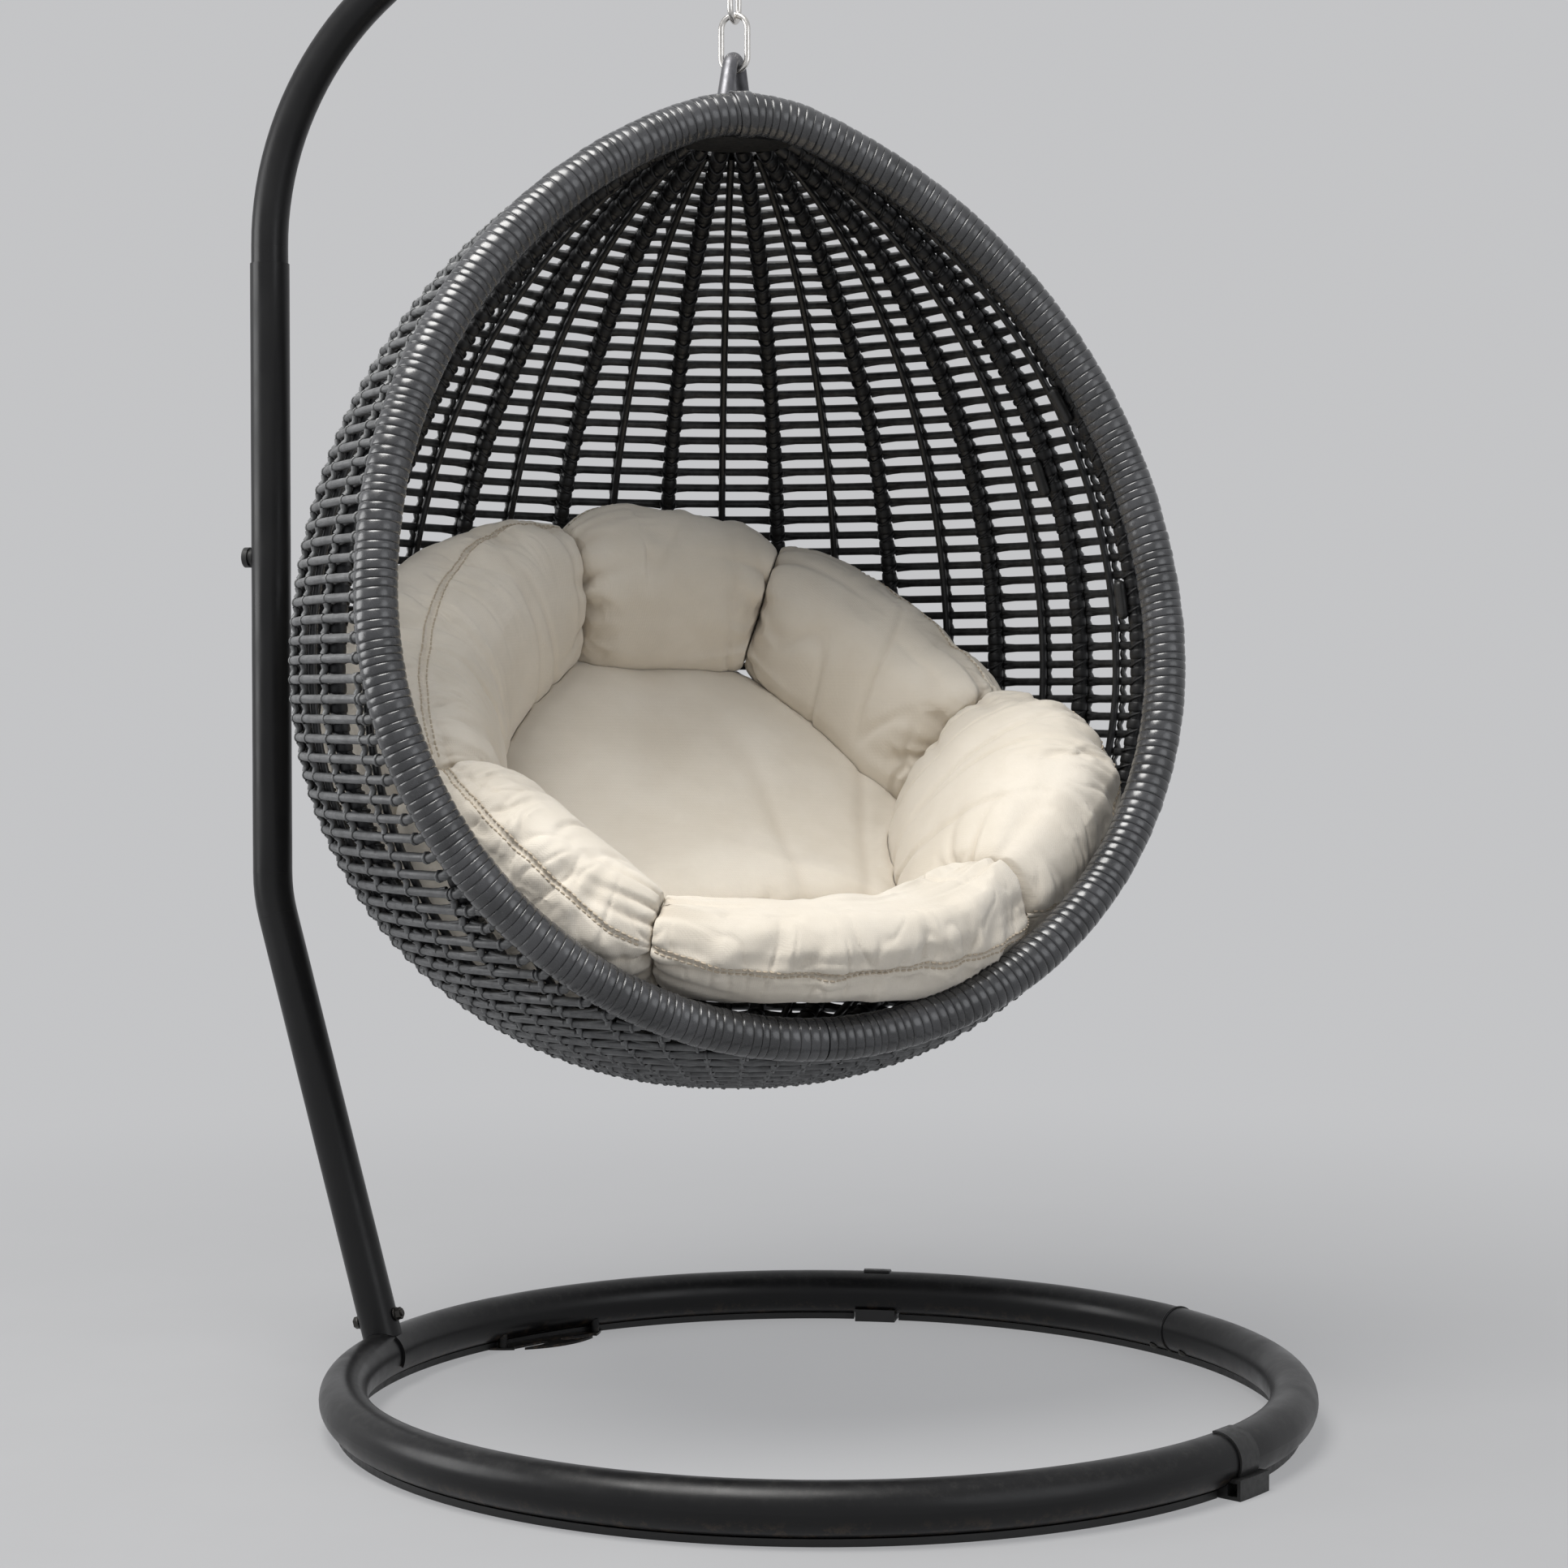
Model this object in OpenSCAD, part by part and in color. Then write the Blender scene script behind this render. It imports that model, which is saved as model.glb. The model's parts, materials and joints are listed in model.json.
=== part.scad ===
// Hanging egg chair: a round-tube stand with a ring base, and a woven basket with a nest cushion
// that hangs from it on a short chain. Millimetres, +Z up, origin on the floor under the middle
// of the bounding box. The post stands on the -X side of the ring.

/* [Base ring] */
// Radius of the ring's centreline
ring_r = 550; // [500:5:620]
// Outside diameter of the ring tube
ring_tube_d = 56; // [50:1:62]
// Wall of the ring tube
ring_wall = 2; // [1.5:0.25:3]
// Height of the tube's underside above the floor
ring_lift = 8; // [6:0.5:12]
// Angle of the ring's first seam, from the +X side
seam_angle = 50; // [35:1:60]
// Thickness of the clips that hold the feet
clip_t = 2.5; // [1.5:0.25:2.5]
// Angle of the first clip foot, the others follow every third of a turn
clip_angle = 98; // [96:1:100]
// Angle of the slotted anchor plate
anchor_angle = 148; // [140:1:155]

/* [Post and arm] */
// Distance of the upright post from the ring's centre
post_x = 701; // [690:1:760]
// Outside diameter of the lower post
post_d = 48; // [42:1:52]
// Wall of the lower post
post_wall = 1.8; // [1.5:0.1:2.5]
// Height of the knee in the lower post
knee_z = 597; // [500:5:700]
// Centreline radius of the knee
knee_r = 200; // [120:10:300]
// Height of the seam between post and arm
seam_z = 1370; // [1300:5:1500]
// Outside diameter of the arm
arm_d = 45; // [45:0.5:46]
// Wall of the arm above the seam
arm_wall = 2.5; // [2:0.25:3]
// Straight length of the arm above the seam
arm_straight = 20; // [10:1:60]
// Centreline radius of the arm's first bend
arm_r = 385; // [340:5:420]
// Angle of the arm's first bend
arm_turn = 50; // [44:1:56]
// Angle by which the arm runs on past the hanging point
arm_over = 5; // [4:0.5:8]
// How far the arm's swaged end reaches down inside the post
spigot_len = 410; // [380:5:450]
// Height of the locking knob
knob_z = 1011; // [1000:1:1100]
// Diameter of the locking knob
knob_d = 25; // [20:1:32]
// Diameter of the knob's and the foot bolt's shanks
bolt_d = 8; // [6:0.5:8]

/* [Suspension] */
// Distance of the hanging point from the ring's centre, towards the post
hang_back = 102; // [90:1:130]
// Wire diameter of the hanger loop under the arm
hanger_wire = 10; // [8:1:12]
// Drop from the arm's underside to the hanger wire's centre
hanger_drop = 29; // [28:1:50]
// Outside length of a chain link
link_len = 72; // [66:1:90]
// Outside width of a chain link
link_w = 39; // [36:1:46]
// Wire diameter of the chain
link_wire = 7; // [5:0.5:8]
// Wire diameter of the swivel's two eyes
eye_wire = 8; // [7:0.5:9]
// Inside diameter of the swivel's two eyes
eye_hole = 16; // [16:0.5:20]
// Outside diameter of the swivel's barrel
barrel_d = 24; // [22:1:32]
// Length of the swivel's barrel
barrel_len = 20; // [20:1:30]
// Rod diameter of the bail
bail_d = 18; // [14:1:18]
// Centreline radius of the bail's bow
bail_r = 20; // [18:0.5:20]
// Height of the bail's bow centre line above the egg's crown
bail_rise = 65; // [60:1:90]
// Outward slope of the bail's legs
bail_spread = 25; // [18:1:26]

/* [Basket] */
// Direction of the opening, from the +X side
opening_angle = -52; // [-180:1:180]
// Widest radius of the egg, at the rim's centreline
egg_r = 505; // [480:1:510]
// Radius of the egg's upper side arc
upper_r = 680; // [640:5:760]
// Radius of the egg's crown arc
crown_r = 200; // [170:5:230]
// Radius of the egg's lower arc
lower_r = 472; // [455:1:480]
// Distance of the opening's plane in front of the hanging axis, at the widest height
opening_d = 190; // [160:1:210]
// Backward lean of the opening's plane
opening_lean = 12.1; // [9:0.1:14]
// Diameter of the rim tube
rim_tube_d = 38; // [32:1:39]
// Wall of the rim tube
rim_wall = 2.5; // [1.5:0.25:3]
// Diameter of the wrapped rim
wrap_d = 48; // [44:1:50]
// Radius of the rim's crown arc
rim_crown_r = 202; // [180:1:230]
// Diameter of a thick rib
rib_d = 17; // [12:0.5:18]
// Number of thick ribs in a full turn
rib_count = 20; // [16:1:22]
// Diameter of a thin stake
stake_d = 9; // [6:0.5:10]
// Diameter of a weaver
weaver_d = 10; // [7:0.5:11]
// Distance between neighbouring weavers along the egg
weave_pitch = 21.9; // [18:0.1:36]
// How far the weave stands outside the rim's centreline
weave_proud = 11; // [8:0.5:14]
// Gap between the weavers and the ribs that they cross
weave_gap = 0.8; // [0.7:0.05:0.95]
// Radius at which the ribs end at the crown
crown_hub_r = 75; // [72:1:95]
// Radius at which the ribs end at the bottom
bottom_hub_r = 70; // [65:1:95]

/* [Cushion] */
// Height of the cushion's ring under the widest height, as a share of lower_r
nest_drop = 0.29; // [0.25:0.01:0.31]
// Slope of the cushion's ring
nest_slope = 31.5; // [28:0.5:32]
// How far the sides of the cushion's ring sag
side_sag = 58; // [30:1:60]
// Half thickness of the front and head bolsters
bolster_b = 72; // [64:1:74]
// Extra half thickness of the side bolsters
side_plump = 14; // [6:1:16]
// Half height of the front bolster
bolster_a_front = 68; // [62:1:72]
// Half height of the head bolster
bolster_a_back = 115; // [105:1:118]
// Extra half height of the side bolsters
side_rise = 56; // [30:1:58]
// Thickness of the back pad
pad_t = 84; // [70:1:88]
// Depth of the back pad's middle under the cushion's ring, as a share of lower_r
pad_sink = 0.34; // [0.3:0.01:0.36]

/* [Clearances] */
// Gap between pieces that sit against each other
seat_gap = 0.3; // [0.2:0.05:0.5]
// Radial clearance of the swivel's stem, and the hairline between the runs of a tube
run_gap = 0.05; // [0.02:0.01:0.08]
// Gap between soft pieces and what holds them
soft_gap = 0.6; // [0.4:0.1:0.9]

/* [Hidden] */

// Facet counts: round sections, long arcs
$fn = 36;
arc_fn = 120;

// Heights and extents of the stand
ring_z = ring_lift + ring_tube_d / 2;
ring_bore_r = ring_tube_d / 2 - ring_wall;
post_bore_r = post_d / 2 - post_wall;
spigot_r = post_bore_r - seat_gap;
arm_bore_r = arm_d / 2 - arm_wall;
collar_t = 4;
knob_t = 10;
knob_out = post_x + post_d / 2 + collar_t + knob_t;
// Middle of the bounding box in the ring's own frame
origin_x = (ring_r + ring_tube_d / 2 - knob_out) / 2;
// Slope of the lower post, and the tangent length of its knee
post_lean = atan((post_x - ring_r) / (knee_z - ring_z));
knee_tangent = knee_r * tan(post_lean / 2);
// The arm's second bend levels out exactly over the hanging point
arm_r2 = arm_r + (post_x - arm_r - hang_back) / cos(arm_turn);
arm_z0 = seam_z + arm_straight;
arm_c1 = [arm_r - post_x, arm_z0];
arm_c2 = [-hang_back, arm_z0 + (arm_r - arm_r2) * sin(arm_turn)];
arm_axis_z = arm_c2[1] + arm_r2;

// Heights down the chain: centres of the wires that touch
hanger_z = arm_axis_z - arm_d / 2 - hanger_drop;
link_pitch = link_len - link_wire;
top_link_z = hanger_z + hanger_wire / 2 + seat_gap + link_wire / 2;
swivel_pin_z = top_link_z - link_pitch;
eye_r = (eye_hole + eye_wire) / 2;
body_eye_z = swivel_pin_z + link_wire / 2 + seat_gap + eye_wire / 2 - eye_r;
barrel_top = body_eye_z - eye_r + 3;
barrel_floor = 5;
barrel_roof = 8;
lower_eye_z = barrel_top - barrel_len - seat_gap - eye_r - eye_wire / 2;
link_upper_z = lower_eye_z - eye_r + eye_wire / 2 + seat_gap + link_wire / 2;
link_lower_z = link_upper_z - link_pitch + link_wire + seat_gap;
bail_z = link_lower_z - link_pitch + link_wire / 2 + seat_gap + bail_d / 2;

// The egg: its widest height, the centre of its crown arc, and where the side arc ends
crown_rise = sqrt(pow(upper_r - crown_r, 2) - pow(upper_r - egg_r, 2));
egg_z = bail_z - bail_rise - crown_r - crown_rise;
upper_x = egg_r - upper_r;
lower_x = egg_r - lower_r;
lean_k = tan(opening_lean);

// Offsets from the egg's surface
wrap_r = wrap_d / 2;
weaver_off = weave_proud - weaver_d / 2;
under_weave = weaver_off - weaver_d / 2 - weave_gap;
rib_off = under_weave - rib_d / 2;
stake_off = under_weave - stake_d / 2;
rib_inside = -rib_off + rib_d / 2;
rib_step = 360 / rib_count;
stake_end_r = 100;

// x of the opening's plane at height z
function plane_x(z) = opening_d - lean_k * (z - egg_z);
// Radius of the egg at height z, moved out by off
function side_r(z, off) = z > egg_z
    ? upper_x + sqrt(pow(upper_r + off, 2) - pow(z - egg_z, 2))
    : lower_x + sqrt(pow(lower_r + off, 2) - pow(z - egg_z, 2));
// Angle on an arc of radius r about [cx, cz] where it meets the opening's plane, less a distance d
function plane_meets(r, cx, cz, phi, d, side) =
    let (a = r * cos(phi), b = r * lean_k,
         c = opening_d - lean_k * (cz - egg_z) - cx * cos(phi) - d / cos(opening_lean),
         m = norm([a, b]), q = c / m)
    atan2(b, a) + side * acos(max(-1, min(1, q)));

// Rim: an outline in the opening's plane made of a lower half circle, two side arcs and a crown
// arc, fitted to the top, the width and the bottom of the cut through the egg
rim_top_angle = plane_meets(crown_r, 0, egg_z + crown_rise, 0, 0, 1);
rim_top_z = egg_z + crown_rise + crown_r * sin(rim_top_angle);
rim_low_angle = plane_meets(lower_r, lower_x, egg_z, 0, 0, -1);
rim_low_z = egg_z + lower_r * sin(rim_low_angle);
rim_top_v = (rim_top_z - egg_z) / cos(opening_lean);
rim_low_v = (rim_low_z - egg_z) / cos(opening_lean);
rim_wide_z = egg_z + opening_d * lean_k * upper_r / egg_r;
rim_half_w = sqrt(pow(side_r(rim_wide_z, 0), 2) - pow(plane_x(rim_wide_z), 2));
rim_mid_v = rim_low_v + rim_half_w;
rim_rise = rim_top_v - rim_crown_r - rim_mid_v;
rim_upper_r = (pow(rim_half_w, 2) + pow(rim_rise, 2) - pow(rim_crown_r, 2)) / (2 * (rim_half_w - rim_crown_r));
rim_top_turn = atan2(rim_rise, rim_upper_r - rim_half_w);

/* ---------- shared shapes ---------- */

module stand_frame() translate([-origin_x, 0, 0]) children();
module hang_frame() translate([-hang_back - origin_x, 0, 0]) children();
module basket_frame() hang_frame() rotate([0, 0, opening_angle]) children();

// Part of a solid or hollow round torus about Z
module bent_rod(r, d, a0, a1)
    rotate([0, 0, a0]) rotate_extrude(angle = a1 - a0, $fn = arc_fn) translate([r, 0]) circle(d = d);
module bent_tube(r, d, bore, a0, a1)
    rotate([0, 0, a0]) rotate_extrude(angle = a1 - a0, $fn = arc_fn) translate([r, 0])
        difference() {
            circle(d = d);
            circle(r = bore);
        }
// Tube from the origin along +Y through a list of [radius, angle] left-hand bends, or
// [0, length] for straight lengths. Each run ends in the frame in which the next one starts,
// with a hairline between the two.
module tube_run(d, bore, runs, i = 0) {
    r = runs[i][0];
    step = runs[i][1];
    more = i + 1 < len(runs);
    lead = i > 0 ? run_gap : 0;
    if (r == 0) {
        translate([0, lead, 0]) rotate([-90, 0, 0]) pipe(step - lead, d, bore);
        if (more) translate([0, step, 0]) tube_run(d, bore, runs, i + 1);
    } else translate([-r, 0, 0]) {
        bent_tube(r, d, bore, lead / r * 180 / PI, step);
        if (more) rotate([0, 0, step]) translate([r, 0, 0]) tube_run(d, bore, runs, i + 1);
    }
}
module pipe(len, d, bore)
    difference() {
        cylinder(h = len, d = d);
        translate([0, 0, -1]) cylinder(h = len + 2, r = bore);
    }
// Turns a shape drawn in the XY plane up into the XZ plane
module upright() rotate([90, 0, 0]) children();

// Closed mesh through a list of rings with the same number of points each
module ring_mesh(rings) {
    n = len(rings);
    m = len(rings[0]);
    mean0 = [for (k = [0 : 2]) ([for (j = [0 : m - 1]) rings[0][j][k]] * [for (j = [0 : m - 1]) 1]) / m];
    mean1 = [for (k = [0 : 2]) ([for (j = [0 : m - 1]) rings[n - 1][j][k]] * [for (j = [0 : m - 1]) 1]) / m];
    points = concat([for (r = rings) each r], [mean0, mean1]);
    sides = [for (i = [0 : n - 2]) for (j = [0 : m - 1])
        let (a = i * m + j, b = i * m + (j + 1) % m, c = a + m, d = b + m)
        each [[a, b, d], [a, d, c]]];
    cap0 = [for (j = [0 : m - 1]) [n * m, (j + 1) % m, j]];
    cap1 = [for (j = [0 : m - 1]) [n * m + 1, (n - 1) * m + j, (n - 1) * m + (j + 1) % m]];
    polyhedron(points = points, faces = concat(sides, cap0, cap1), convexity = 6);
}

/* ---------- stand ---------- */

screw_d = 6;
screw_polar = -125;
screw_offset = 3;
sleeve_half = 6;

module at_ring(angle) rotate([0, 0, angle]) translate([ring_r, 0, ring_z]) children();
// Axis across the tube at a polar angle of its section, pointing outwards
module across_tube(angle, polar) at_ring(angle) rotate([0, 90 - polar, 0]) children();

stub_len = 100;
foot_bolt_up = 44;

// A bent tube whose two ends meet at one seam, with the stub that the post's foot slides over
module base_ring() color([0.06, 0.06, 0.06]) {
    half_gap = seat_gap / 2 / ring_r * 180 / PI;
    stand_frame() difference() {
        translate([0, 0, ring_z])
            bent_tube(ring_r, ring_tube_d, ring_bore_r, seam_angle + half_gap, seam_angle + 360 - half_gap);
        for (t = [-screw_offset, screw_offset])
            across_tube(seam_angle + t, screw_polar) cylinder(h = ring_tube_d, d = screw_d + 2 * seat_gap);
    }
    difference() {
        on_foot() pipe(stub_len, 2 * spigot_r, spigot_r - ring_wall);
        stand_frame() translate([0, 0, ring_z]) bent_rod(ring_r, 2 * ring_bore_r + ring_wall / 2, 170, 190);
        at_foot_bolt() cylinder(h = 2 * post_d, d = bolt_d + 2 * seat_gap, center = true);
    }
}

module ring_joint_sleeve() color([0.3, 0.3, 0.3]) stand_frame()
    difference() {
        translate([0, 0, ring_z])
            bent_tube(ring_r, 2 * (ring_bore_r - seat_gap), ring_bore_r - seat_gap - ring_wall,
                seam_angle - sleeve_half, seam_angle + sleeve_half);
        for (t = [-screw_offset, screw_offset])
            across_tube(seam_angle + t, screw_polar) cylinder(h = ring_tube_d, d = screw_d + 2 * seat_gap);
    }

// Button-head screw, head seated at radius r from the axis
module button_screw(r, shank) {
    translate([0, 0, r - shank]) cylinder(h = shank + 1, d = screw_d);
    translate([0, 0, r + seat_gap])
        rotate_extrude() intersection() {
            translate([0, -4]) circle(r = 7.5);
            square([6, 4]);
        }
}

module ring_joint_screws() color([0.1, 0.1, 0.1]) stand_frame()
    for (t = [-screw_offset, screw_offset])
        across_tube(seam_angle + t, screw_polar) button_screw(ring_tube_d / 2, 8);

strip_in = 8;
strip_out = 9;
strip_h = 8;
strip_cut = 3.2;
// Turn from the rear clip to the front one
clip_step = 240;

module floor_strips() color([0.18, 0.18, 0.19]) stand_frame()
    for (run = [[clip_angle, clip_step], [clip_angle + clip_step, 360 - clip_step]])
        rotate([0, 0, run[0] + strip_cut])
            rotate_extrude(angle = run[1] - 2 * strip_cut, $fn = arc_fn)
                difference() {
                    translate([ring_r - strip_in, 0]) square([strip_in + strip_out, strip_h]);
                    translate([ring_r, ring_z]) circle(r = ring_tube_d / 2 + seat_gap);
                }

clip_band_half = 1.8;
clip_block_half = 2.9;

// Moulded clip: a band over the tube's outer side, a block under it, and an open channel outside
module clip_foot(angle, channel)
    difference() {
        union() {
            rotate([0, 0, angle - clip_band_half])
                rotate_extrude(angle = 2 * clip_band_half, $fn = arc_fn) translate([ring_r, ring_z])
                    intersection() {
                        circle(r = ring_tube_d / 2 + seat_gap + clip_t);
                        translate([-6, -ring_tube_d]) square([ring_tube_d, 2 * ring_tube_d]);
                    }
            rotate([0, 0, angle - clip_block_half])
                rotate_extrude(angle = 2 * clip_block_half, $fn = arc_fn) translate([ring_r, 0]) {
                    translate([-24, 0]) square([44, 16]);
                    if (channel) difference() {
                        translate([12, 0]) square([24, 22]);
                        translate([20, 4]) square([12, 14]);
                    }
                }
        }
        translate([0, 0, ring_z])
            bent_rod(ring_r, ring_tube_d + 2 * seat_gap, angle - 2 * clip_block_half, angle + 2 * clip_block_half);
    }

module clip_feet() color([0.05, 0.05, 0.05]) stand_frame() {
    clip_foot(clip_angle, false);
    clip_foot(clip_angle + clip_step, true);
}

plate_t = 3;
plate_r = 120;
plate_reach = 58;

module slot(len, w) {
    square([w, len], center = true);
    for (s = [-1, 1]) translate([0, s * len / 2]) circle(d = w);
}

module anchor_plate() color([0.04, 0.04, 0.04]) stand_frame() rotate([0, 0, anchor_angle])
    difference() {
        union() {
            linear_extrude(height = plate_t)
                difference() {
                    intersection() {
                        circle(r = ring_r - strip_in - 1, $fn = arc_fn);
                        translate([ring_r - plate_reach + plate_r, 0]) circle(r = plate_r, $fn = arc_fn);
                    }
                    for (s = [-1, 1])
                        rotate([0, 0, s * 4.3]) translate([ring_r - 36, 0]) slot(44, 12);
                }
            for (s = [-1, 1])
                rotate([0, 0, 8 * s]) translate([ring_r - 18, 0, 0]) cylinder(h = 20, d = 12);
        }
        translate([0, 0, ring_z])
            bent_rod(ring_r, ring_tube_d + 2 * seat_gap, -20, 20);
    }

// Draws on the leaning foot of the post: +Z up its axis from the ring's centreline
module on_foot() stand_frame() translate([-ring_r, 0, ring_z]) rotate([0, -post_lean, 0]) children();
// Across the foot at the bolt's height, +Z pointing outwards
module at_foot_bolt() on_foot() translate([0, 0, foot_bolt_up]) rotate([0, -90, 0]) children();

tongue_half = 1.7;
tongue_t = 3;
tongue_from = 128;
tongue_to = 205;

// Section of the tongue that hugs the ring's inner side, between two polar angles
module tongue_section()
    difference() {
        circle(r = ring_tube_d / 2 + seat_gap + tongue_t);
        circle(r = ring_tube_d / 2 + seat_gap);
        polygon([[0, 0], 60 * [cos(tongue_to), sin(tongue_to)], [-60, -60], [60, -60], [60, 60],
            60 * [cos(tongue_from), sin(tongue_from)]]);
    }

foot_len = norm([post_x - ring_r, knee_z - ring_z]) - knee_tangent;

module lower_post() color([0.05, 0.05, 0.05])
    difference() {
        union() {
            on_foot() rotate([90, 0, 0]) mirror([1, 0, 0])
                tube_run(post_d, post_bore_r, [[0, foot_len], [knee_r, post_lean],
                    [0, seam_z - knee_z - knee_tangent]]);
            stand_frame() rotate([0, 0, 180 - tongue_half])
                rotate_extrude(angle = 2 * tongue_half, $fn = arc_fn)
                    translate([ring_r, ring_z]) tongue_section();
        }
        stand_frame() translate([0, 0, ring_z])
            bent_rod(ring_r, ring_tube_d + 2 * seat_gap, 170, 190);
        at_foot_bolt() cylinder(h = 2 * post_d, d = bolt_d + 2 * seat_gap, center = true);
        on_post() cylinder(h = post_d, d = bolt_d + 2 * seat_gap);
    }

washer_t = 1.6;
head_t = 5.5;
nut_t = 6.5;
nut_af = 15;
foot_seat = post_d / 2 + seat_gap;

module foot_bolt() color([0.2, 0.19, 0.18]) at_foot_bolt() {
    translate([0, 0, -foot_seat - washer_t - nut_t - 2])
        cylinder(h = 2 * foot_seat + washer_t + nut_t + 3, d = bolt_d);
    translate([0, 0, foot_seat]) cylinder(h = washer_t, d = 17);
    translate([0, 0, foot_seat + washer_t]) cylinder(h = head_t, d = nut_af, $fn = 6);
}

module foot_nut() color([0.2, 0.19, 0.18]) at_foot_bolt() rotate([180, 0, 0])
    difference() {
        union() {
            translate([0, 0, foot_seat]) cylinder(h = washer_t, d = 17);
            translate([0, 0, foot_seat + washer_t]) cylinder(h = nut_t, d = nut_af, $fn = 6);
        }
        cylinder(h = 2 * post_d, r = bolt_d / 2 + run_gap);
    }

// Draws on the post's upright axis at height z, +Y upwards and -X towards the arm's reach
module up_post(z) translate([-post_x, 0, z]) rotate([90, 0, 0]) mirror([1, 0, 0]) children();

module upper_arm() color([0.05, 0.05, 0.05]) stand_frame()
    difference() {
        union() {
            translate([-post_x, 0, seam_z - spigot_len])
                pipe(spigot_len + 2 * seat_gap, 2 * spigot_r, arm_bore_r);
            up_post(seam_z + seat_gap)
                tube_run(arm_d, arm_bore_r, [[0, arm_straight - seat_gap], [arm_r, arm_turn],
                    [arm_r2, 90 - arm_turn + arm_over]]);
        }
        translate([-post_x, 0, knob_z]) rotate([0, -90, 0]) cylinder(h = post_d, d = bolt_d + 2 * seat_gap);
    }

// Places a piece on the outer side of the post, with +Z pointing away from it
module on_post() stand_frame() translate([-post_x, 0, knob_z]) rotate([0, -90, 0]) children();

module knob_collar() color([0.03, 0.03, 0.03]) on_post()
    difference() {
        cylinder(h = post_d / 2 + collar_t - seat_gap, d = 20);
        translate([0, 0, -1]) cylinder(h = post_d, d = bolt_d + 2 * seat_gap);
        rotate([0, 90, 0]) cylinder(h = 40, r = post_d / 2 + seat_gap, center = true);
    }

module lock_knob() color([0.03, 0.03, 0.03]) on_post() {
    translate([0, 0, arm_bore_r - 8]) cylinder(h = post_d / 2 + collar_t - arm_bore_r + 10, d = bolt_d);
    translate([0, 0, post_d / 2 + collar_t])
        rotate_extrude() {
            square([knob_d / 2, knob_t / 2]);
            intersection() {
                translate([0, knob_t - knob_d]) circle(r = knob_d, $fn = arc_fn);
                square([knob_d / 2, knob_t]);
            }
        }
}

cap_t = 3;

module arm_end_cap() color([0.03, 0.03, 0.03]) stand_frame()
    translate([arm_c2[0], 0, arm_c2[1]]) rotate([0, arm_over, 0]) translate([0, 0, arm_r2])
        rotate([0, 90, 0]) {
            translate([0, 0, seat_gap]) cylinder(h = cap_t, d = arm_d);
            translate([0, 0, -12]) cylinder(h = 12 + seat_gap + 1, r = arm_bore_r - seat_gap);
        }

hanger_r = 15;

module hanger_loop() color([0.05, 0.05, 0.05])
    difference() {
        hang_frame() rotate([0, 0, 90]) translate([0, 0, hanger_z + hanger_r]) {
            upright() bent_rod(hanger_r, hanger_wire, 180, 360);
            for (s = [-1, 1])
                translate([s * hanger_r, 0, 0])
                    cylinder(h = arm_axis_z - hanger_z - hanger_r, d = hanger_wire);
        }
        stand_frame() translate([arm_c2[0], 0, arm_c2[1]]) upright()
            bent_rod(arm_r2, arm_d + 2 * seat_gap, 85, 95);
    }

/* ---------- suspension ---------- */

// Chain link hanging down from the centre of its top wire
module chain_link(z, turn) {
    bow = (link_w - link_wire) / 2;
    straight = link_len - link_w;
    hang_frame() translate([0, 0, z - bow]) rotate([0, 0, turn]) {
        upright() bent_rod(bow, link_wire, 0, 180);
        for (s = [-1, 1]) translate([s * bow, 0, -straight]) cylinder(h = straight, d = link_wire);
        translate([0, 0, -straight]) upright() bent_rod(bow, link_wire, 180, 360);
    }
}

module top_link() color([0.62, 0.61, 0.58]) chain_link(top_link_z, 0);
module link_upper() color([0.62, 0.61, 0.58]) chain_link(link_upper_z, 90);
module link_lower() color([0.62, 0.61, 0.58]) chain_link(link_lower_z, 0);

stem_r = eye_wire / 2;
cavity_r = barrel_d / 2 - 3;
head_gap = 1;

module swivel_body() color([0.6, 0.6, 0.58]) hang_frame() {
    translate([0, 0, body_eye_z]) rotate([0, 0, 90]) upright()
        rotate_extrude() translate([eye_r, 0]) circle(d = eye_wire);
    difference() {
        translate([0, 0, barrel_top - barrel_len]) cylinder(h = barrel_len, d = barrel_d);
        translate([0, 0, barrel_top - barrel_len + barrel_floor])
            cylinder(h = barrel_len - barrel_floor - barrel_roof, r = cavity_r);
        translate([0, 0, barrel_top - barrel_len - 1]) cylinder(h = barrel_floor + 2, r = stem_r + run_gap);
    }
}

module swivel_eye() color([0.6, 0.6, 0.58]) hang_frame() {
    stem_from = lower_eye_z + eye_r;
    head_z = barrel_top - barrel_len + barrel_floor + seat_gap;
    translate([0, 0, lower_eye_z]) upright() rotate_extrude() translate([eye_r, 0]) circle(d = eye_wire);
    translate([0, 0, stem_from]) cylinder(h = head_z - stem_from + 1, r = stem_r);
    translate([0, 0, head_z])
        cylinder(h = barrel_len - barrel_floor - barrel_roof - head_gap, r = cavity_r - head_gap);
}

plate_thick = 12;
crown_arc_r = upper_r + rib_off;
crown_end_angle = acos((crown_hub_r - upper_x) / crown_arc_r);
crown_end_z = egg_z + crown_arc_r * sin(crown_end_angle);
crown_plate_r = crown_hub_r - rib_d / 2 * cos(crown_end_angle) - 2 * seat_gap;
plate_top = crown_end_z + plate_thick / 2;
binding_d = wrap_d + 5;
rim_crown_x = plane_x(rim_top_z);
bail_leg = 120;
// Half turn of the binding round the rim's crown
binding_len = 26;
binding_turn = binding_len / rim_crown_r * 90 / PI;

// Solid arc along the rim's crown, turn degrees to either side
module rim_crown_arc(d, turn) in_opening() translate([0, rim_top_v - rim_crown_r, 0])
    bent_rod(rim_crown_r, d, 90 - turn, 90 + turn);

// Width of the blocks that cut the bail's legs to length
leg_cut_w = 150;
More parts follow.
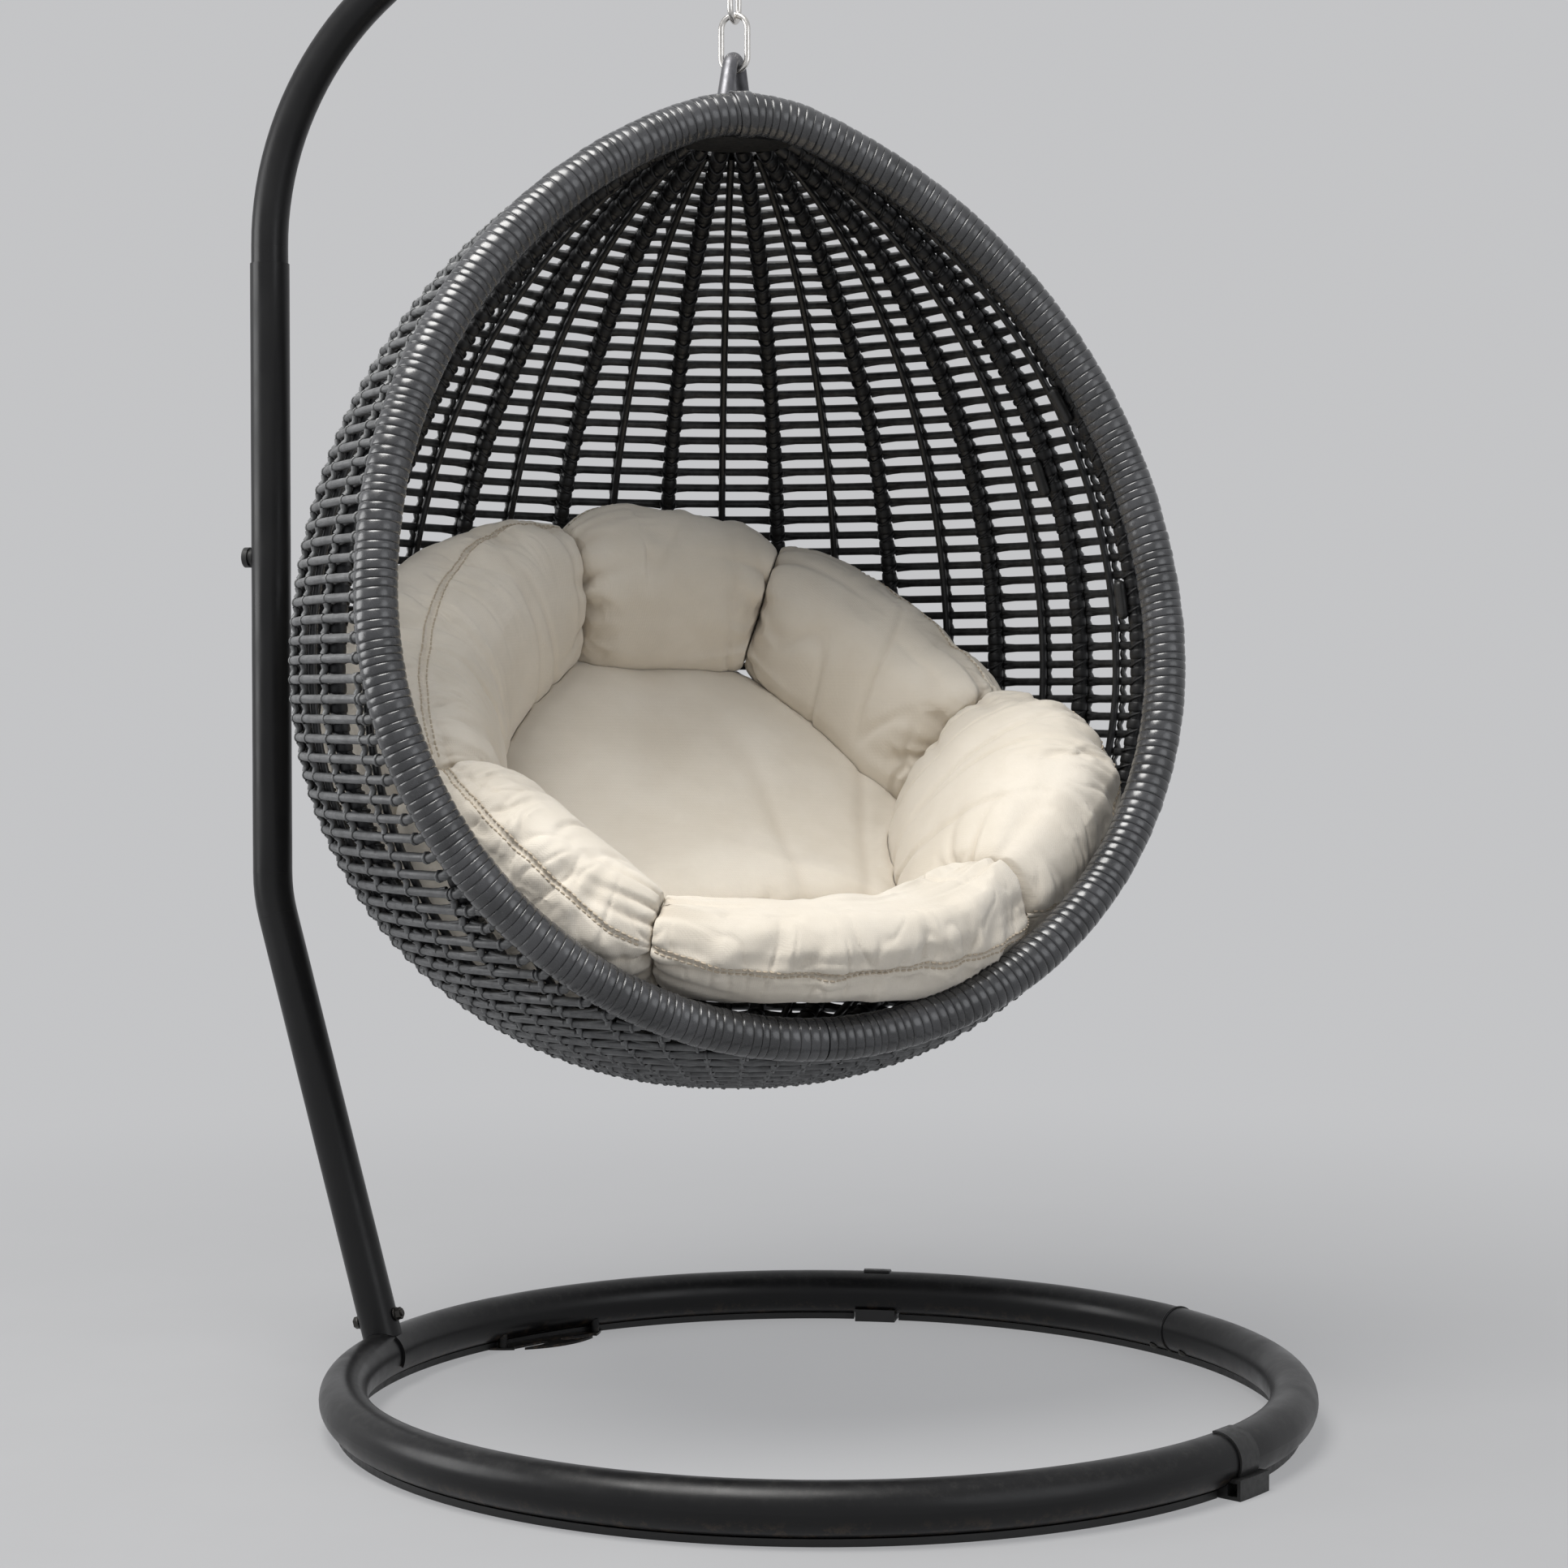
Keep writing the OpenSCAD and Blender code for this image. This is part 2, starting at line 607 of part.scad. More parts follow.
// A narrow bow whose legs spread down: the rear one to the crown plate, the front one to the rim
module bail() color([0.16, 0.16, 0.17])
    difference() {
        hang_frame() rotate([0, 0, 90]) translate([0, 0, bail_z - bail_r]) {
            upright() bent_rod(bail_r, bail_d, bail_spread, 180 - bail_spread);
            for (s = [0, 1]) mirror([s, 0, 0]) rotate([0, -bail_spread, 0])
                translate([bail_r, 0, -run_gap - bail_leg]) cylinder(h = bail_leg, d = bail_d);
        }
        hang_frame() translate([-leg_cut_w / 3, 0, plate_top + seat_gap - bail_leg])
            cube([leg_cut_w * 2 / 3, leg_cut_w, bail_leg]);
        hang_frame() translate([-leg_cut_w / 3, -leg_cut_w, rim_top_z + bail_d / 4 - bail_leg])
            cube([leg_cut_w * 2 / 3, leg_cut_w, bail_leg]);
        rim_crown_arc(wrap_d + 2 * seat_gap, 20);
        rim_crown_arc(binding_d + 2 * seat_gap, binding_turn + 0.2);
    }

/* ---------- basket frame ---------- */

module crown_plate() color([0.07, 0.07, 0.07]) basket_frame()
    difference() {
        translate([0, 0, plate_top - plate_thick]) cylinder(h = plate_thick, r = crown_plate_r, $fn = arc_fn);
        translate([rim_crown_x - binding_d / 2 - seat_gap, -150, plate_top - plate_thick - 1])
            cube([150, 300, plate_thick + 2]);
    }

hub_arc_r = lower_r + rib_off;
hub_end_angle = acos((bottom_hub_r - lower_x) / hub_arc_r);
hub_end_z = egg_z - hub_arc_r * sin(hub_end_angle);
hub_r = bottom_hub_r - rib_d / 2 * cos(hub_end_angle) - 2 * seat_gap;

module bottom_hub() color([0.07, 0.07, 0.07]) basket_frame()
    translate([0, 0, hub_end_z - rib_d / 2])
        rotate_extrude($fn = arc_fn) {
            square([hub_r, rib_d]);
            intersection() {
                translate([0, 2.5 * hub_r]) circle(r = 2.5 * hub_r + 6, $fn = arc_fn);
                translate([0, -10]) square([hub_r - 12, 12]);
            }
        }

// Draws in the opening's plane: x sideways, y up along the plane, z out of the opening
module in_opening() basket_frame() translate([opening_d, 0, egg_z])
    rotate([0, -opening_lean, 0]) rotate([90, 0, 90]) children();

// One half of the rim as a tube from its bottom up to its crown, a gap left at both
module rim_half(d, bore, gap) {
    top_gap = gap / rim_crown_r * 90 / PI;
    low_gap = gap / rim_half_w * 90 / PI;
    translate([0, rim_mid_v, 0]) rotate([0, 0, low_gap - 90]) translate([rim_half_w, 0, 0])
        tube_run(d, bore, [[rim_half_w, 90 - low_gap], [rim_upper_r, rim_top_turn],
            [rim_crown_r, 90 - rim_top_turn - top_gap]]);
}

module rim_tube_right() color([0.1, 0.1, 0.1]) in_opening()
    rim_half(rim_tube_d, rim_tube_d / 2 - rim_wall, seat_gap);
module rim_tube_left() color([0.1, 0.1, 0.1]) in_opening() mirror([1, 0, 0])
    rim_half(rim_tube_d, rim_tube_d / 2 - rim_wall, seat_gap);

module rim_joint_sleeves() color([0.3, 0.3, 0.3]) in_opening() {
    sleeve_r = rim_tube_d / 2 - rim_wall - seat_gap;
    half_turn = 9;
    translate([0, rim_top_v - rim_crown_r, 0])
        bent_tube(rim_crown_r, 2 * sleeve_r, sleeve_r - rim_wall, 90 - half_turn, 90 + half_turn);
    translate([0, rim_mid_v, 0])
        bent_tube(rim_half_w, 2 * sleeve_r, sleeve_r - rim_wall, -90 - half_turn / 2, -90 + half_turn / 2);
}

module rim_wrap_right() color([0.24, 0.24, 0.26]) in_opening()
    rim_half(wrap_d, rim_tube_d / 2 + seat_gap, binding_len + 2 * seat_gap);
module rim_wrap_left() color([0.24, 0.24, 0.26]) in_opening() mirror([1, 0, 0])
    rim_half(wrap_d, rim_tube_d / 2 + seat_gap, binding_len + 2 * seat_gap);

// The crossed wraps at the crown and at the bottom
module crown_binding() color([0.2, 0.2, 0.22]) in_opening() {
    low_half = binding_len / rim_half_w * 90 / PI;
    translate([0, rim_top_v - rim_crown_r, 0])
        bent_tube(rim_crown_r, binding_d, rim_tube_d / 2 + seat_gap, 90 - binding_turn, 90 + binding_turn);
    translate([0, rim_mid_v, 0])
        bent_tube(rim_half_w, wrap_d, rim_tube_d / 2 + seat_gap, -90 - low_half, -90 + low_half);
}

/* ---------- ribs, stakes and weavers ---------- */

// Distance that keeps a square rod end clear of the wrapped rim
function end_gap(d, r, cx, phi, side) =
    let (t = plane_meets(r, cx, egg_z, phi, wrap_r + seat_gap, side),
         along = cos(opening_lean) * (sin(t) * cos(phi) - lean_k * cos(t)))
    wrap_r + 2 * seat_gap + d / 2 * sqrt(max(0, 1 - along * along));

// True if the egg's side at direction phi lies wholly behind the opening
function behind(off, phi) =
    (upper_r + off) * norm([cos(phi), lean_k]) + upper_x * cos(phi)
        < opening_d - (wrap_r + 2 * seat_gap) / cos(opening_lean);

// A rod up the egg at direction phi, from the bottom end to the crown or to the rim
module meridian_rod(d, off, phi, low_r, high_r) {
    low_end = -acos((low_r - lower_x) / (lower_r + off));
    high_end = acos((high_r - upper_x) / (upper_r + off));
    whole = behind(off, phi);
    lower_stop = whole ? 0 : plane_meets(lower_r + off, lower_x, egg_z, phi,
        end_gap(d, lower_r + off, lower_x, phi, -1), -1);
    upper_stop = plane_meets(upper_r + off, upper_x, egg_z, phi,
        end_gap(d, upper_r + off, upper_x, phi, 1), 1);
    rotate([0, 0, phi]) translate([0, 0, egg_z]) {
        if (lower_stop > low_end + 1)
            translate([lower_x, 0, 0]) upright()
                bent_rod(lower_r + off, d, low_end, min(0, lower_stop));
        if (whole)
            translate([upper_x, 0, 0]) upright() bent_rod(upper_r + off, d, 0, high_end);
        else if (upper_stop < high_end - 1)
            translate([upper_x, 0, 0]) upright() bent_rod(upper_r + off, d, upper_stop, high_end);
    }
}

module ribs(side) basket_frame()
    for (k = [0 : floor((rib_count - 1) / 2)])
        meridian_rod(rib_d, rib_off, side * (k + 0.5) * rib_step, bottom_hub_r, crown_hub_r);

module stakes(side) basket_frame()
    for (k = [side > 0 ? 0 : 1 : floor(side > 0 ? rib_count / 2 : (rib_count - 1) / 2)])
        meridian_rod(stake_d, stake_off, side * k * rib_step, stake_end_r, stake_end_r);

module ribs_right() color([0.1, 0.1, 0.11]) ribs(1);
module ribs_left() color([0.1, 0.1, 0.11]) ribs(-1);
module stakes_right() color([0.13, 0.13, 0.14]) stakes(1);
module stakes_left() color([0.13, 0.13, 0.14]) stakes(-1);

// Weavers: rings round the egg, open where the rim is, at an even pitch up both arcs
upper_step = weave_pitch / (upper_r + weaver_off) * 180 / PI;
lower_step = weave_pitch / (lower_r + weaver_off) * 180 / PI;
first_weaver_r = crown_hub_r + rib_d / 2 + weaver_d / 2;
upper_count = floor(acos((first_weaver_r - upper_x) / (upper_r + weaver_off)) / upper_step - 0.5);
lower_count = floor(acos((bottom_hub_r + weaver_d - lower_x) / (lower_r + weaver_off)) / lower_step - 0.5);

module weaver(r, z) {
    c = min(1, abs(plane_x(z) - wrap_r) / r) * cos(opening_lean);
    clear = wrap_r + 2 * seat_gap + weaver_d / 2 * norm([c, sin(opening_lean)]);
    stop = plane_x(z) - clear / cos(opening_lean);
    turn = stop >= r ? 0 : acos(max(-1, stop / r));
    translate([0, 0, z])
        if (turn == 0) rotate_extrude($fn = arc_fn) translate([r, 0]) circle(d = weaver_d);
        else bent_rod(r, weaver_d, turn, 360 - turn);
}

module upper_weavers(from, to) color([0.22, 0.22, 0.24]) basket_frame()
    for (k = [from : to])
        let (t = (k + 0.5) * upper_step, r = upper_r + weaver_off)
        weaver(upper_x + r * cos(t), egg_z + r * sin(t));

module lower_weavers(from, to) color([0.22, 0.22, 0.24]) basket_frame()
    for (k = [from : to])
        let (t = (k + 0.5) * lower_step, r = lower_r + weaver_off)
        weaver(lower_x + r * cos(t), egg_z - r * sin(t));

upper_half = floor(upper_count / 2);
lower_half = floor(lower_count / 2);

module weavers_crown() upper_weavers(upper_half, upper_count);
module weavers_upper() upper_weavers(0, upper_half - 1);
module weavers_middle() lower_weavers(0, lower_half);
module weavers_lower() lower_weavers(lower_half + 1, lower_count);

// Black clips that tie the cushion to the ribs: rib number and height above the widest
clip_spots = [[-4.5, 150], [4.5, 330], [5.5, 250], [4.5, 90]];
clip_w = 14;
clip_h = 34;

module tie_clips() color([0.02, 0.02, 0.02]) basket_frame()
    for (s = clip_spots)
        let (t = asin(s[1] / upper_r), r = upper_r - rib_inside - clip_w / 2 - weave_gap)
        rotate([0, 0, s[0] * rib_step])
        translate([upper_x + r * cos(t), 0, egg_z + r * sin(t)]) rotate([0, -t, 0]) {
            cylinder(h = clip_h, d = clip_w, center = true);
            for (t = [-1, 1]) translate([0, 0, t * clip_h / 2]) sphere(d = clip_w);
        }

/* ---------- nest cushion ---------- */

ring_pts = 20;
bolster_rings = 18;
nest_k = tan(nest_slope);
nest_z = egg_z - nest_drop * lower_r;
rim_ease = 3;
// Directions at which one bolster ends and the next begins, from the opening round to the back
seam_front_right = 56;
seam_side_right = 113;
seam_head_right = 155;
seam_head_left = 192;
seam_side_left = 268;
seam_front_left = 323;
pad_crease = 78;

function unit(v) = v / norm(v);
// Share of a side bolster's extra size at direction phi
function side_share(phi) = pow(abs(sin(phi)), 3);
function half_thick(phi) = bolster_b + side_plump * side_share(phi);
function half_high(phi) = bolster_a_front + (bolster_a_back - bolster_a_front) * (1 - cos(phi)) / 2
    + side_rise * side_share(phi);
// Inset of the bolsters: clear of the rim in front, against the ribs at the back
function nest_inset(phi) = let (w = (1 - cos(phi)) / 2)
    half_thick(phi) + soft_gap + (1 - w) * (wrap_r + rim_ease) + w * rib_inside;
function nest_height(phi, r) = nest_z - nest_k * r * cos(phi) - side_sag * side_share(phi);
// Distance of the bolster's middle from the hanging axis, settled on the sloping ring
nest_steps = 14;
function nest_settle(phi, r, n) = n == 0 ? r
    : nest_settle(phi, (r + side_r(nest_height(phi, r), -nest_inset(phi))) / 2, n - 1);
// Where the settling starts: inside the lower shell at any of its sizes
function nest_start(phi) = min(0.7 * egg_r, 0.95 * (lower_r - nest_inset(phi) - nest_drop * lower_r
    - side_sag * side_share(phi)) / (nest_k * max(0.1, cos(phi))));
function nest_r(phi) = nest_settle(phi, nest_start(phi), nest_steps);
function nest_mid(phi) = let (r = nest_r(phi)) [r * cos(phi), r * sin(phi), nest_height(phi, r)];
function nest_in(phi) = let (p = nest_mid(phi), r = nest_r(phi), x = p[2] > egg_z ? upper_x : lower_x,
    v = unit([x - r, egg_z - p[2]])) [v[0] * cos(phi), v[0] * sin(phi), v[1]];
function nest_along(phi) = unit(nest_mid(phi + 1) - nest_mid(phi - 1));
function nest_up(phi) = unit(cross(nest_along(phi), nest_in(phi)));
// A section of a bolster, scaled by e, fuller at its corners than an ellipse
function section(phi, e) =
    let (p = nest_mid(phi), n = nest_in(phi), u = nest_up(phi), a = half_high(phi), b = half_thick(phi))
    [for (j = [0 : ring_pts - 1]) let (t = 360 * j / ring_pts, c = cos(t), s = sin(t),
        k = pow(pow(abs(c), 2.4) + pow(abs(s), 2.4), -1 / 2.4))
        p + a * e * k * c * u + b * e * k * s * n];
// A bolster's girth: full in the middle, drawn in to its end seams
function girth(s) = 0.66 + 0.34 * sqrt(max(0, 1 - pow(abs(s), 3)));

module bolster(from, to) color([0.79, 0.74, 0.66]) basket_frame() {
    trim = soft_gap / nest_r((from + to) / 2) * 180 / PI;
    mid = (from + to) / 2;
    half = (to - from) / 2 - trim;
    ring_mesh([for (i = [0 : bolster_rings]) let (s = sin(90 * (2 * i / bolster_rings - 1)))
        section(mid + half * s, girth(s))]);
}

module cushion_front() bolster(seam_front_left - 360, seam_front_right);
module cushion_lower_right() bolster(seam_front_right, seam_side_right);
module cushion_upper_right() bolster(seam_side_right, seam_head_right);
module cushion_head() bolster(seam_head_right, seam_head_left);
module cushion_upper_left() bolster(seam_head_left, seam_side_left);
module cushion_lower_left() bolster(seam_side_left, seam_front_left);

// Edge of the pads, sewn along the bolsters' inner sides
edge_turn = 24;
function pad_edge(phi) = nest_mid(phi)
    + (half_thick(phi) * sin(edge_turn) + 4 * soft_gap) * nest_in(phi)
    - (half_high(phi) * cos(edge_turn) + 5 * soft_gap) * nest_up(phi);
pad_normal = [sin(nest_slope), 0, cos(nest_slope)];
pad_rings = 5;
// Distance of the back pad's middle behind the hanging axis
pad_back = 0.22 * egg_r;

// A crowned pad inside a closed edge, its middle at m
function pad_layer(edge, m, t, s, side) = [for (p = edge)
    m + (p - m) * s + pad_normal * side * t / 2 * pow(max(0, 1 - pow(s, 3)), 0.6)];
module pad(edge, m, t) color([0.77, 0.72, 0.64]) basket_frame()
    ring_mesh(concat(
        [for (i = [1 : pad_rings]) pad_layer(edge, m, t, i / (pad_rings + 0.6), 1)],
        [edge],
        [for (i = [pad_rings : -1 : 1]) pad_layer(edge, m, t, i / (pad_rings + 0.6), -1)]));

back_edge_pts = 26;
seat_edge_pts = 14;
crease_pts = 6;
// Points along the crease between two ends, the ends left out
function crease(p, q, shift) = [for (i = [1 : crease_pts]) let (t = i / (crease_pts + 1))
    p + (q - p) * t + [shift, 0, 0]];

module cushion_back_pad() {
    p = [for (i = [0 : back_edge_pts])
        pad_edge(pad_crease + (360 - 2 * pad_crease) * i / back_edge_pts) - [soft_gap, 0, 0]];
    m = [-pad_back, 0, nest_z + nest_k * pad_back - pad_sink * lower_r];
    pad(concat(p, crease(p[back_edge_pts], p[0], 0)), m, pad_t);
}

module cushion_seat_pad() {
    p = [for (i = [0 : seat_edge_pts])
        pad_edge(-pad_crease + 2 * pad_crease * i / seat_edge_pts) + [soft_gap, 0, 0]];
    m = (p[0] + p[seat_edge_pts]) / 4 + p[seat_edge_pts / 2] / 2;
    pad(concat(p, crease(p[seat_edge_pts], p[0], 0)), m, pad_t * 0.7);
}

base_ring();
ring_joint_sleeve();
ring_joint_screws();
floor_strips();
clip_feet();
anchor_plate();
lower_post();
foot_bolt();
foot_nut();
upper_arm();
lock_knob();
knob_collar();
arm_end_cap();
hanger_loop();
top_link();
swivel_body();
swivel_eye();
link_upper();
link_lower();
bail();
crown_plate();
bottom_hub();
rim_tube_left();
rim_tube_right();
rim_joint_sleeves();
rim_wrap_left();
rim_wrap_right();
crown_binding();
ribs_left();
ribs_right();
stakes_left();
stakes_right();
weavers_crown();
weavers_upper();
weavers_middle();
weavers_lower();
tie_clips();
cushion_head();
cushion_upper_left();
cushion_upper_right();
cushion_lower_left();
cushion_lower_right();
cushion_front();
cushion_back_pad();
cushion_seat_pad();
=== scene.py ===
import json
import math
import random

import bpy
import numpy as np
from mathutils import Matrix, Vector, noise
from mathutils.bvhtree import BVHTree

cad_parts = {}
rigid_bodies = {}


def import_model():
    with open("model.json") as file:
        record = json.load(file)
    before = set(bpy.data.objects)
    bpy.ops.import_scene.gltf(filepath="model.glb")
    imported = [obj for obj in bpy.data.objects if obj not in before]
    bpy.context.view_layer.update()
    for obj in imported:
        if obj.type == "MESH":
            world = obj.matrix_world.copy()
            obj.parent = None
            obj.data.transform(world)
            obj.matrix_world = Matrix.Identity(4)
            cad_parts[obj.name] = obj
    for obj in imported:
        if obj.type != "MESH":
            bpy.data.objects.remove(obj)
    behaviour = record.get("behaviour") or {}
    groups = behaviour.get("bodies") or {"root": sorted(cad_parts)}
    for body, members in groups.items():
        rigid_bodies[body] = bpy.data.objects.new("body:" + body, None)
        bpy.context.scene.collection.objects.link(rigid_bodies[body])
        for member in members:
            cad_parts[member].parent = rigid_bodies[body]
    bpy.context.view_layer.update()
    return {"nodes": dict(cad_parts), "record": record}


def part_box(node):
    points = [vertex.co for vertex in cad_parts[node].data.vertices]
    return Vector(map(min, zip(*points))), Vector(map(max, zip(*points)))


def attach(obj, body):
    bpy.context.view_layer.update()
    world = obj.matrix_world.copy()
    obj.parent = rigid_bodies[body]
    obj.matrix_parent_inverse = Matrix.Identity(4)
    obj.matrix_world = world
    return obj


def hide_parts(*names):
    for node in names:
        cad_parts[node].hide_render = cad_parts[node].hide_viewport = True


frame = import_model()
NODES = frame["nodes"]


scene = bpy.context.scene

# ---------------------------------------------------------------- dimensions of the part, metres and radians
TURN = math.radians(-52)
HX = -0.0215
EGG_Z = 0.869628
UPPER_X, UPPER_R = -0.175, 0.680
LOWER_X, LOWER_R = 0.033, 0.472
OPEN_D, LEAN = 0.190, math.radians(12.1)
LEAN_K = math.tan(LEAN)
WEAVER_R, WEAVER_OFF = 0.005, 0.006
RIB_R, RIB_OFF = 0.0085, -0.0083
STAKE_R, STAKE_OFF = 0.0045, -0.0043
UPPER_STEP, LOWER_STEP = math.radians(1.829), math.radians(2.625)
WRAP_R = 0.024
RIM_HALF_W, RIM_MID_V = 0.47013, 0.0567
RIM_UPPER_R, RIM_CROWN_R = 0.628, 0.202
RIM_TOP_V, RIM_TOP_TURN = 0.6544, math.radians(68.2)
LOWER_ROWS, UPPER_ROWS = 32, 37
RODS = 40
ROD_STEP = 360 // RODS
RING_R, RING_TUBE_R = 0.550, 0.028
CA, SA = math.cos(TURN), math.sin(TURN)
UP = np.array([0, 0, 1.0])


def to_world(p):
    """Basket coordinates to world, for an array of points."""
    p = np.asarray(p, float)
    return np.stack([HX + p[..., 0] * CA - p[..., 1] * SA, p[..., 0] * SA + p[..., 1] * CA, p[..., 2]], -1)


def turn_world(v):
    return to_world(v) - np.array([HX, 0, 0])


def to_basket(p):
    x, y = p[..., 0] - HX, p[..., 1]
    return np.stack([x * CA + y * SA, -x * SA + y * CA, p[..., 2]], -1)


def plane_x(z):
    return OPEN_D - LEAN_K * (z - EGG_Z)


# ---------------------------------------------------------------- mesh helpers
def mesh_object(name, verts, quads, body, material):
    verts = np.ascontiguousarray(verts, np.float32)
    quads = np.ascontiguousarray(quads, np.int32)
    me = bpy.data.meshes.new(name)
    me.vertices.add(len(verts))
    me.vertices.foreach_set("co", verts.ravel())
    me.loops.add(quads.size)
    me.loops.foreach_set("vertex_index", quads.ravel())
    me.polygons.add(len(quads))
    me.polygons.foreach_set("loop_start", np.arange(0, quads.size, 4, dtype=np.int32))
    me.update(calc_edges=True)
    me.polygons.foreach_set("use_smooth", np.ones(len(quads), bool))
    ob = bpy.data.objects.new(name, me)
    scene.collection.objects.link(ob)
    ob.data.materials.append(material)
    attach(ob, body)
    return ob


def point_values(me, name, values):
    """A number at each vertex, which the material reads."""
    me.attributes.new(name, "FLOAT", "POINT").data.foreach_set("value", values.astype(np.float32))


def unit(v):
    return v / np.maximum(np.linalg.norm(v, axis=-1, keepdims=True), 1e-12)


def circle(segs):
    return np.arange(segs) * 2 * math.pi / segs


def wrapped(angle):
    """The same angle, from -pi to pi."""
    return (angle + math.pi) % (2 * math.pi) - math.pi


def skin_quads(rings, segs, closed=False):
    """Quads between rings of points that follow one another."""
    steps = rings if closed else rings - 1
    i = np.arange(steps)[:, None] * segs
    nxt = ((np.arange(steps) + 1) % rings)[:, None] * segs
    j = np.arange(segs)[None]
    k = (j + 1) % segs
    return np.stack([i + j, i + k, nxt + k, nxt + j], -1).reshape(-1, 4)


def tubes(paths, radii, segs=6, flat=1.0, ref=None, closed=False):
    """Round or flattened tubes along many paths of the same length: vertices and quads."""
    paths = np.asarray(paths, float)
    m, p, _ = paths.shape
    radii = np.broadcast_to(np.asarray(radii, float), (m, p))
    if closed:
        tan = np.roll(paths, -1, 1) - np.roll(paths, 1, 1)
    else:
        tan = np.gradient(paths, axis=1)
    tan = unit(tan)
    if ref is None:
        ref = np.array([0.3, 0.2, 1.0])
    ref = np.broadcast_to(np.asarray(ref, float), paths.shape) if np.ndim(ref) != 2 \
        else np.broadcast_to(np.asarray(ref)[:, None, :], paths.shape)
    side = unit(np.cross(tan, ref))
    out = unit(np.cross(side, tan))
    ca, sa = np.cos(circle(segs)), np.sin(circle(segs))
    verts = paths[:, :, None] + radii[:, :, None, None] * (
        flat * ca[None, None, :, None] * out[:, :, None] + sa[None, None, :, None] * side[:, :, None])
    quads = (np.arange(m)[:, None, None] * p * segs + skin_quads(p, segs, closed)[None]).reshape(-1, 4)
    return verts.reshape(-1, 3), quads[:, ::-1]


def merge(parts):
    """Several lists of vertices and quads as one."""
    verts, quads, at = [], [], 0
    for v, q in parts:
        verts.append(v)
        quads.append(q + at)
        at += len(v)
    return np.concatenate(verts), np.concatenate(quads)


# ---------------------------------------------------------------- materials
class Mat:
    """A small wrapper that builds a node material."""

    def __init__(self, name, rough=0.5, metal=0.0, spec=0.5):
        self.m = bpy.data.materials.new(name)
        self.m.use_nodes = True
        self.t = self.m.node_tree
        self.b = self.t.nodes["Principled BSDF"]
        self.b.inputs["Roughness"].default_value = rough
        self.b.inputs["Metallic"].default_value = metal
        self.b.inputs["Specular IOR Level"].default_value = spec
        self.tc = self.t.nodes.new("ShaderNodeTexCoord")
        self.obj = self.tc.outputs["Object"]

    def link(self, a, b):
        self.t.links.new(a, b)

    def put(self, socket, value):
        if hasattr(value, "is_output"):
            self.link(value, socket)
        else:
            socket.default_value = value

    def mapping(self, scale, vec=None):
        n = self.t.nodes.new("ShaderNodeMapping")
        n.inputs["Scale"].default_value = scale
        self.link(vec or self.obj, n.inputs["Vector"])
        return n.outputs[0]

    def noise(self, scale, detail=4, rough=0.55, vec=None):
        n = self.t.nodes.new("ShaderNodeTexNoise")
        n.inputs["Scale"].default_value = scale
        n.inputs["Detail"].default_value = detail
        n.inputs["Roughness"].default_value = rough
        self.link(vec or self.obj, n.inputs["Vector"])
        return n.outputs[0]

    def ramp(self, fac, lo, hi, a=0.0, b=1.0):
        n = self.t.nodes.new("ShaderNodeMapRange")
        n.interpolation_type = "SMOOTHSTEP"
        self.put(n.inputs[0], fac)
        for i, v in enumerate((lo, hi, a, b)):
            n.inputs[i + 1].default_value = v
        return n.outputs[0]

    def mix(self, fac, a, b):
        n = self.t.nodes.new("ShaderNodeMix")
        n.data_type = "RGBA"
        self.put(n.inputs[0], fac)
        self.put(n.inputs[6], (*a, 1) if isinstance(a, tuple) else a)
        self.put(n.inputs[7], (*b, 1) if isinstance(b, tuple) else b)
        return n.outputs[2]

    def math(self, op, a, b=0.0):
        n = self.t.nodes.new("ShaderNodeMath")
        n.operation = op
        self.put(n.inputs[0], a)
        self.put(n.inputs[1], b)
        return n.outputs[0]

    def xyz(self, vec=None):
        n = self.t.nodes.new("ShaderNodeSeparateXYZ")
        self.link(vec or self.obj, n.inputs[0])
        return n.outputs

    def vec(self, op, a, b=(0, 0, 0)):
        n = self.t.nodes.new("ShaderNodeVectorMath")
        n.operation = op
        self.put(n.inputs[0], a)
        self.put(n.inputs[1], b)
        return n.outputs

    def up(self):
        """How far the surface faces upwards, 0 to 1."""
        return self.ramp(self.xyz(self.tc.outputs["Normal"])[2], 0.1, 0.95)

    def outward(self, centre):
        """1 where the surface faces away from the basket's middle, 0 where it faces into it."""
        away = self.vec("NORMALIZE", self.vec("SUBTRACT", self.obj, centre)[0])[0]
        return self.vec("DOT_PRODUCT", away, self.tc.outputs["Normal"])[1]

    def attr(self, name):
        n = self.t.nodes.new("ShaderNodeAttribute")
        n.attribute_name = name
        return n.outputs["Fac"]

    def bump(self, height, strength, distance):
        n = self.t.nodes.new("ShaderNodeBump")
        n.inputs["Strength"].default_value = strength
        n.inputs["Distance"].default_value = distance
        self.link(height, n.inputs["Height"])
        self.link(n.outputs[0], self.b.inputs["Normal"])

    def colour(self, value):
        self.put(self.b.inputs["Base Color"], value)

    def rough(self, value):
        self.put(self.b.inputs["Roughness"], value)


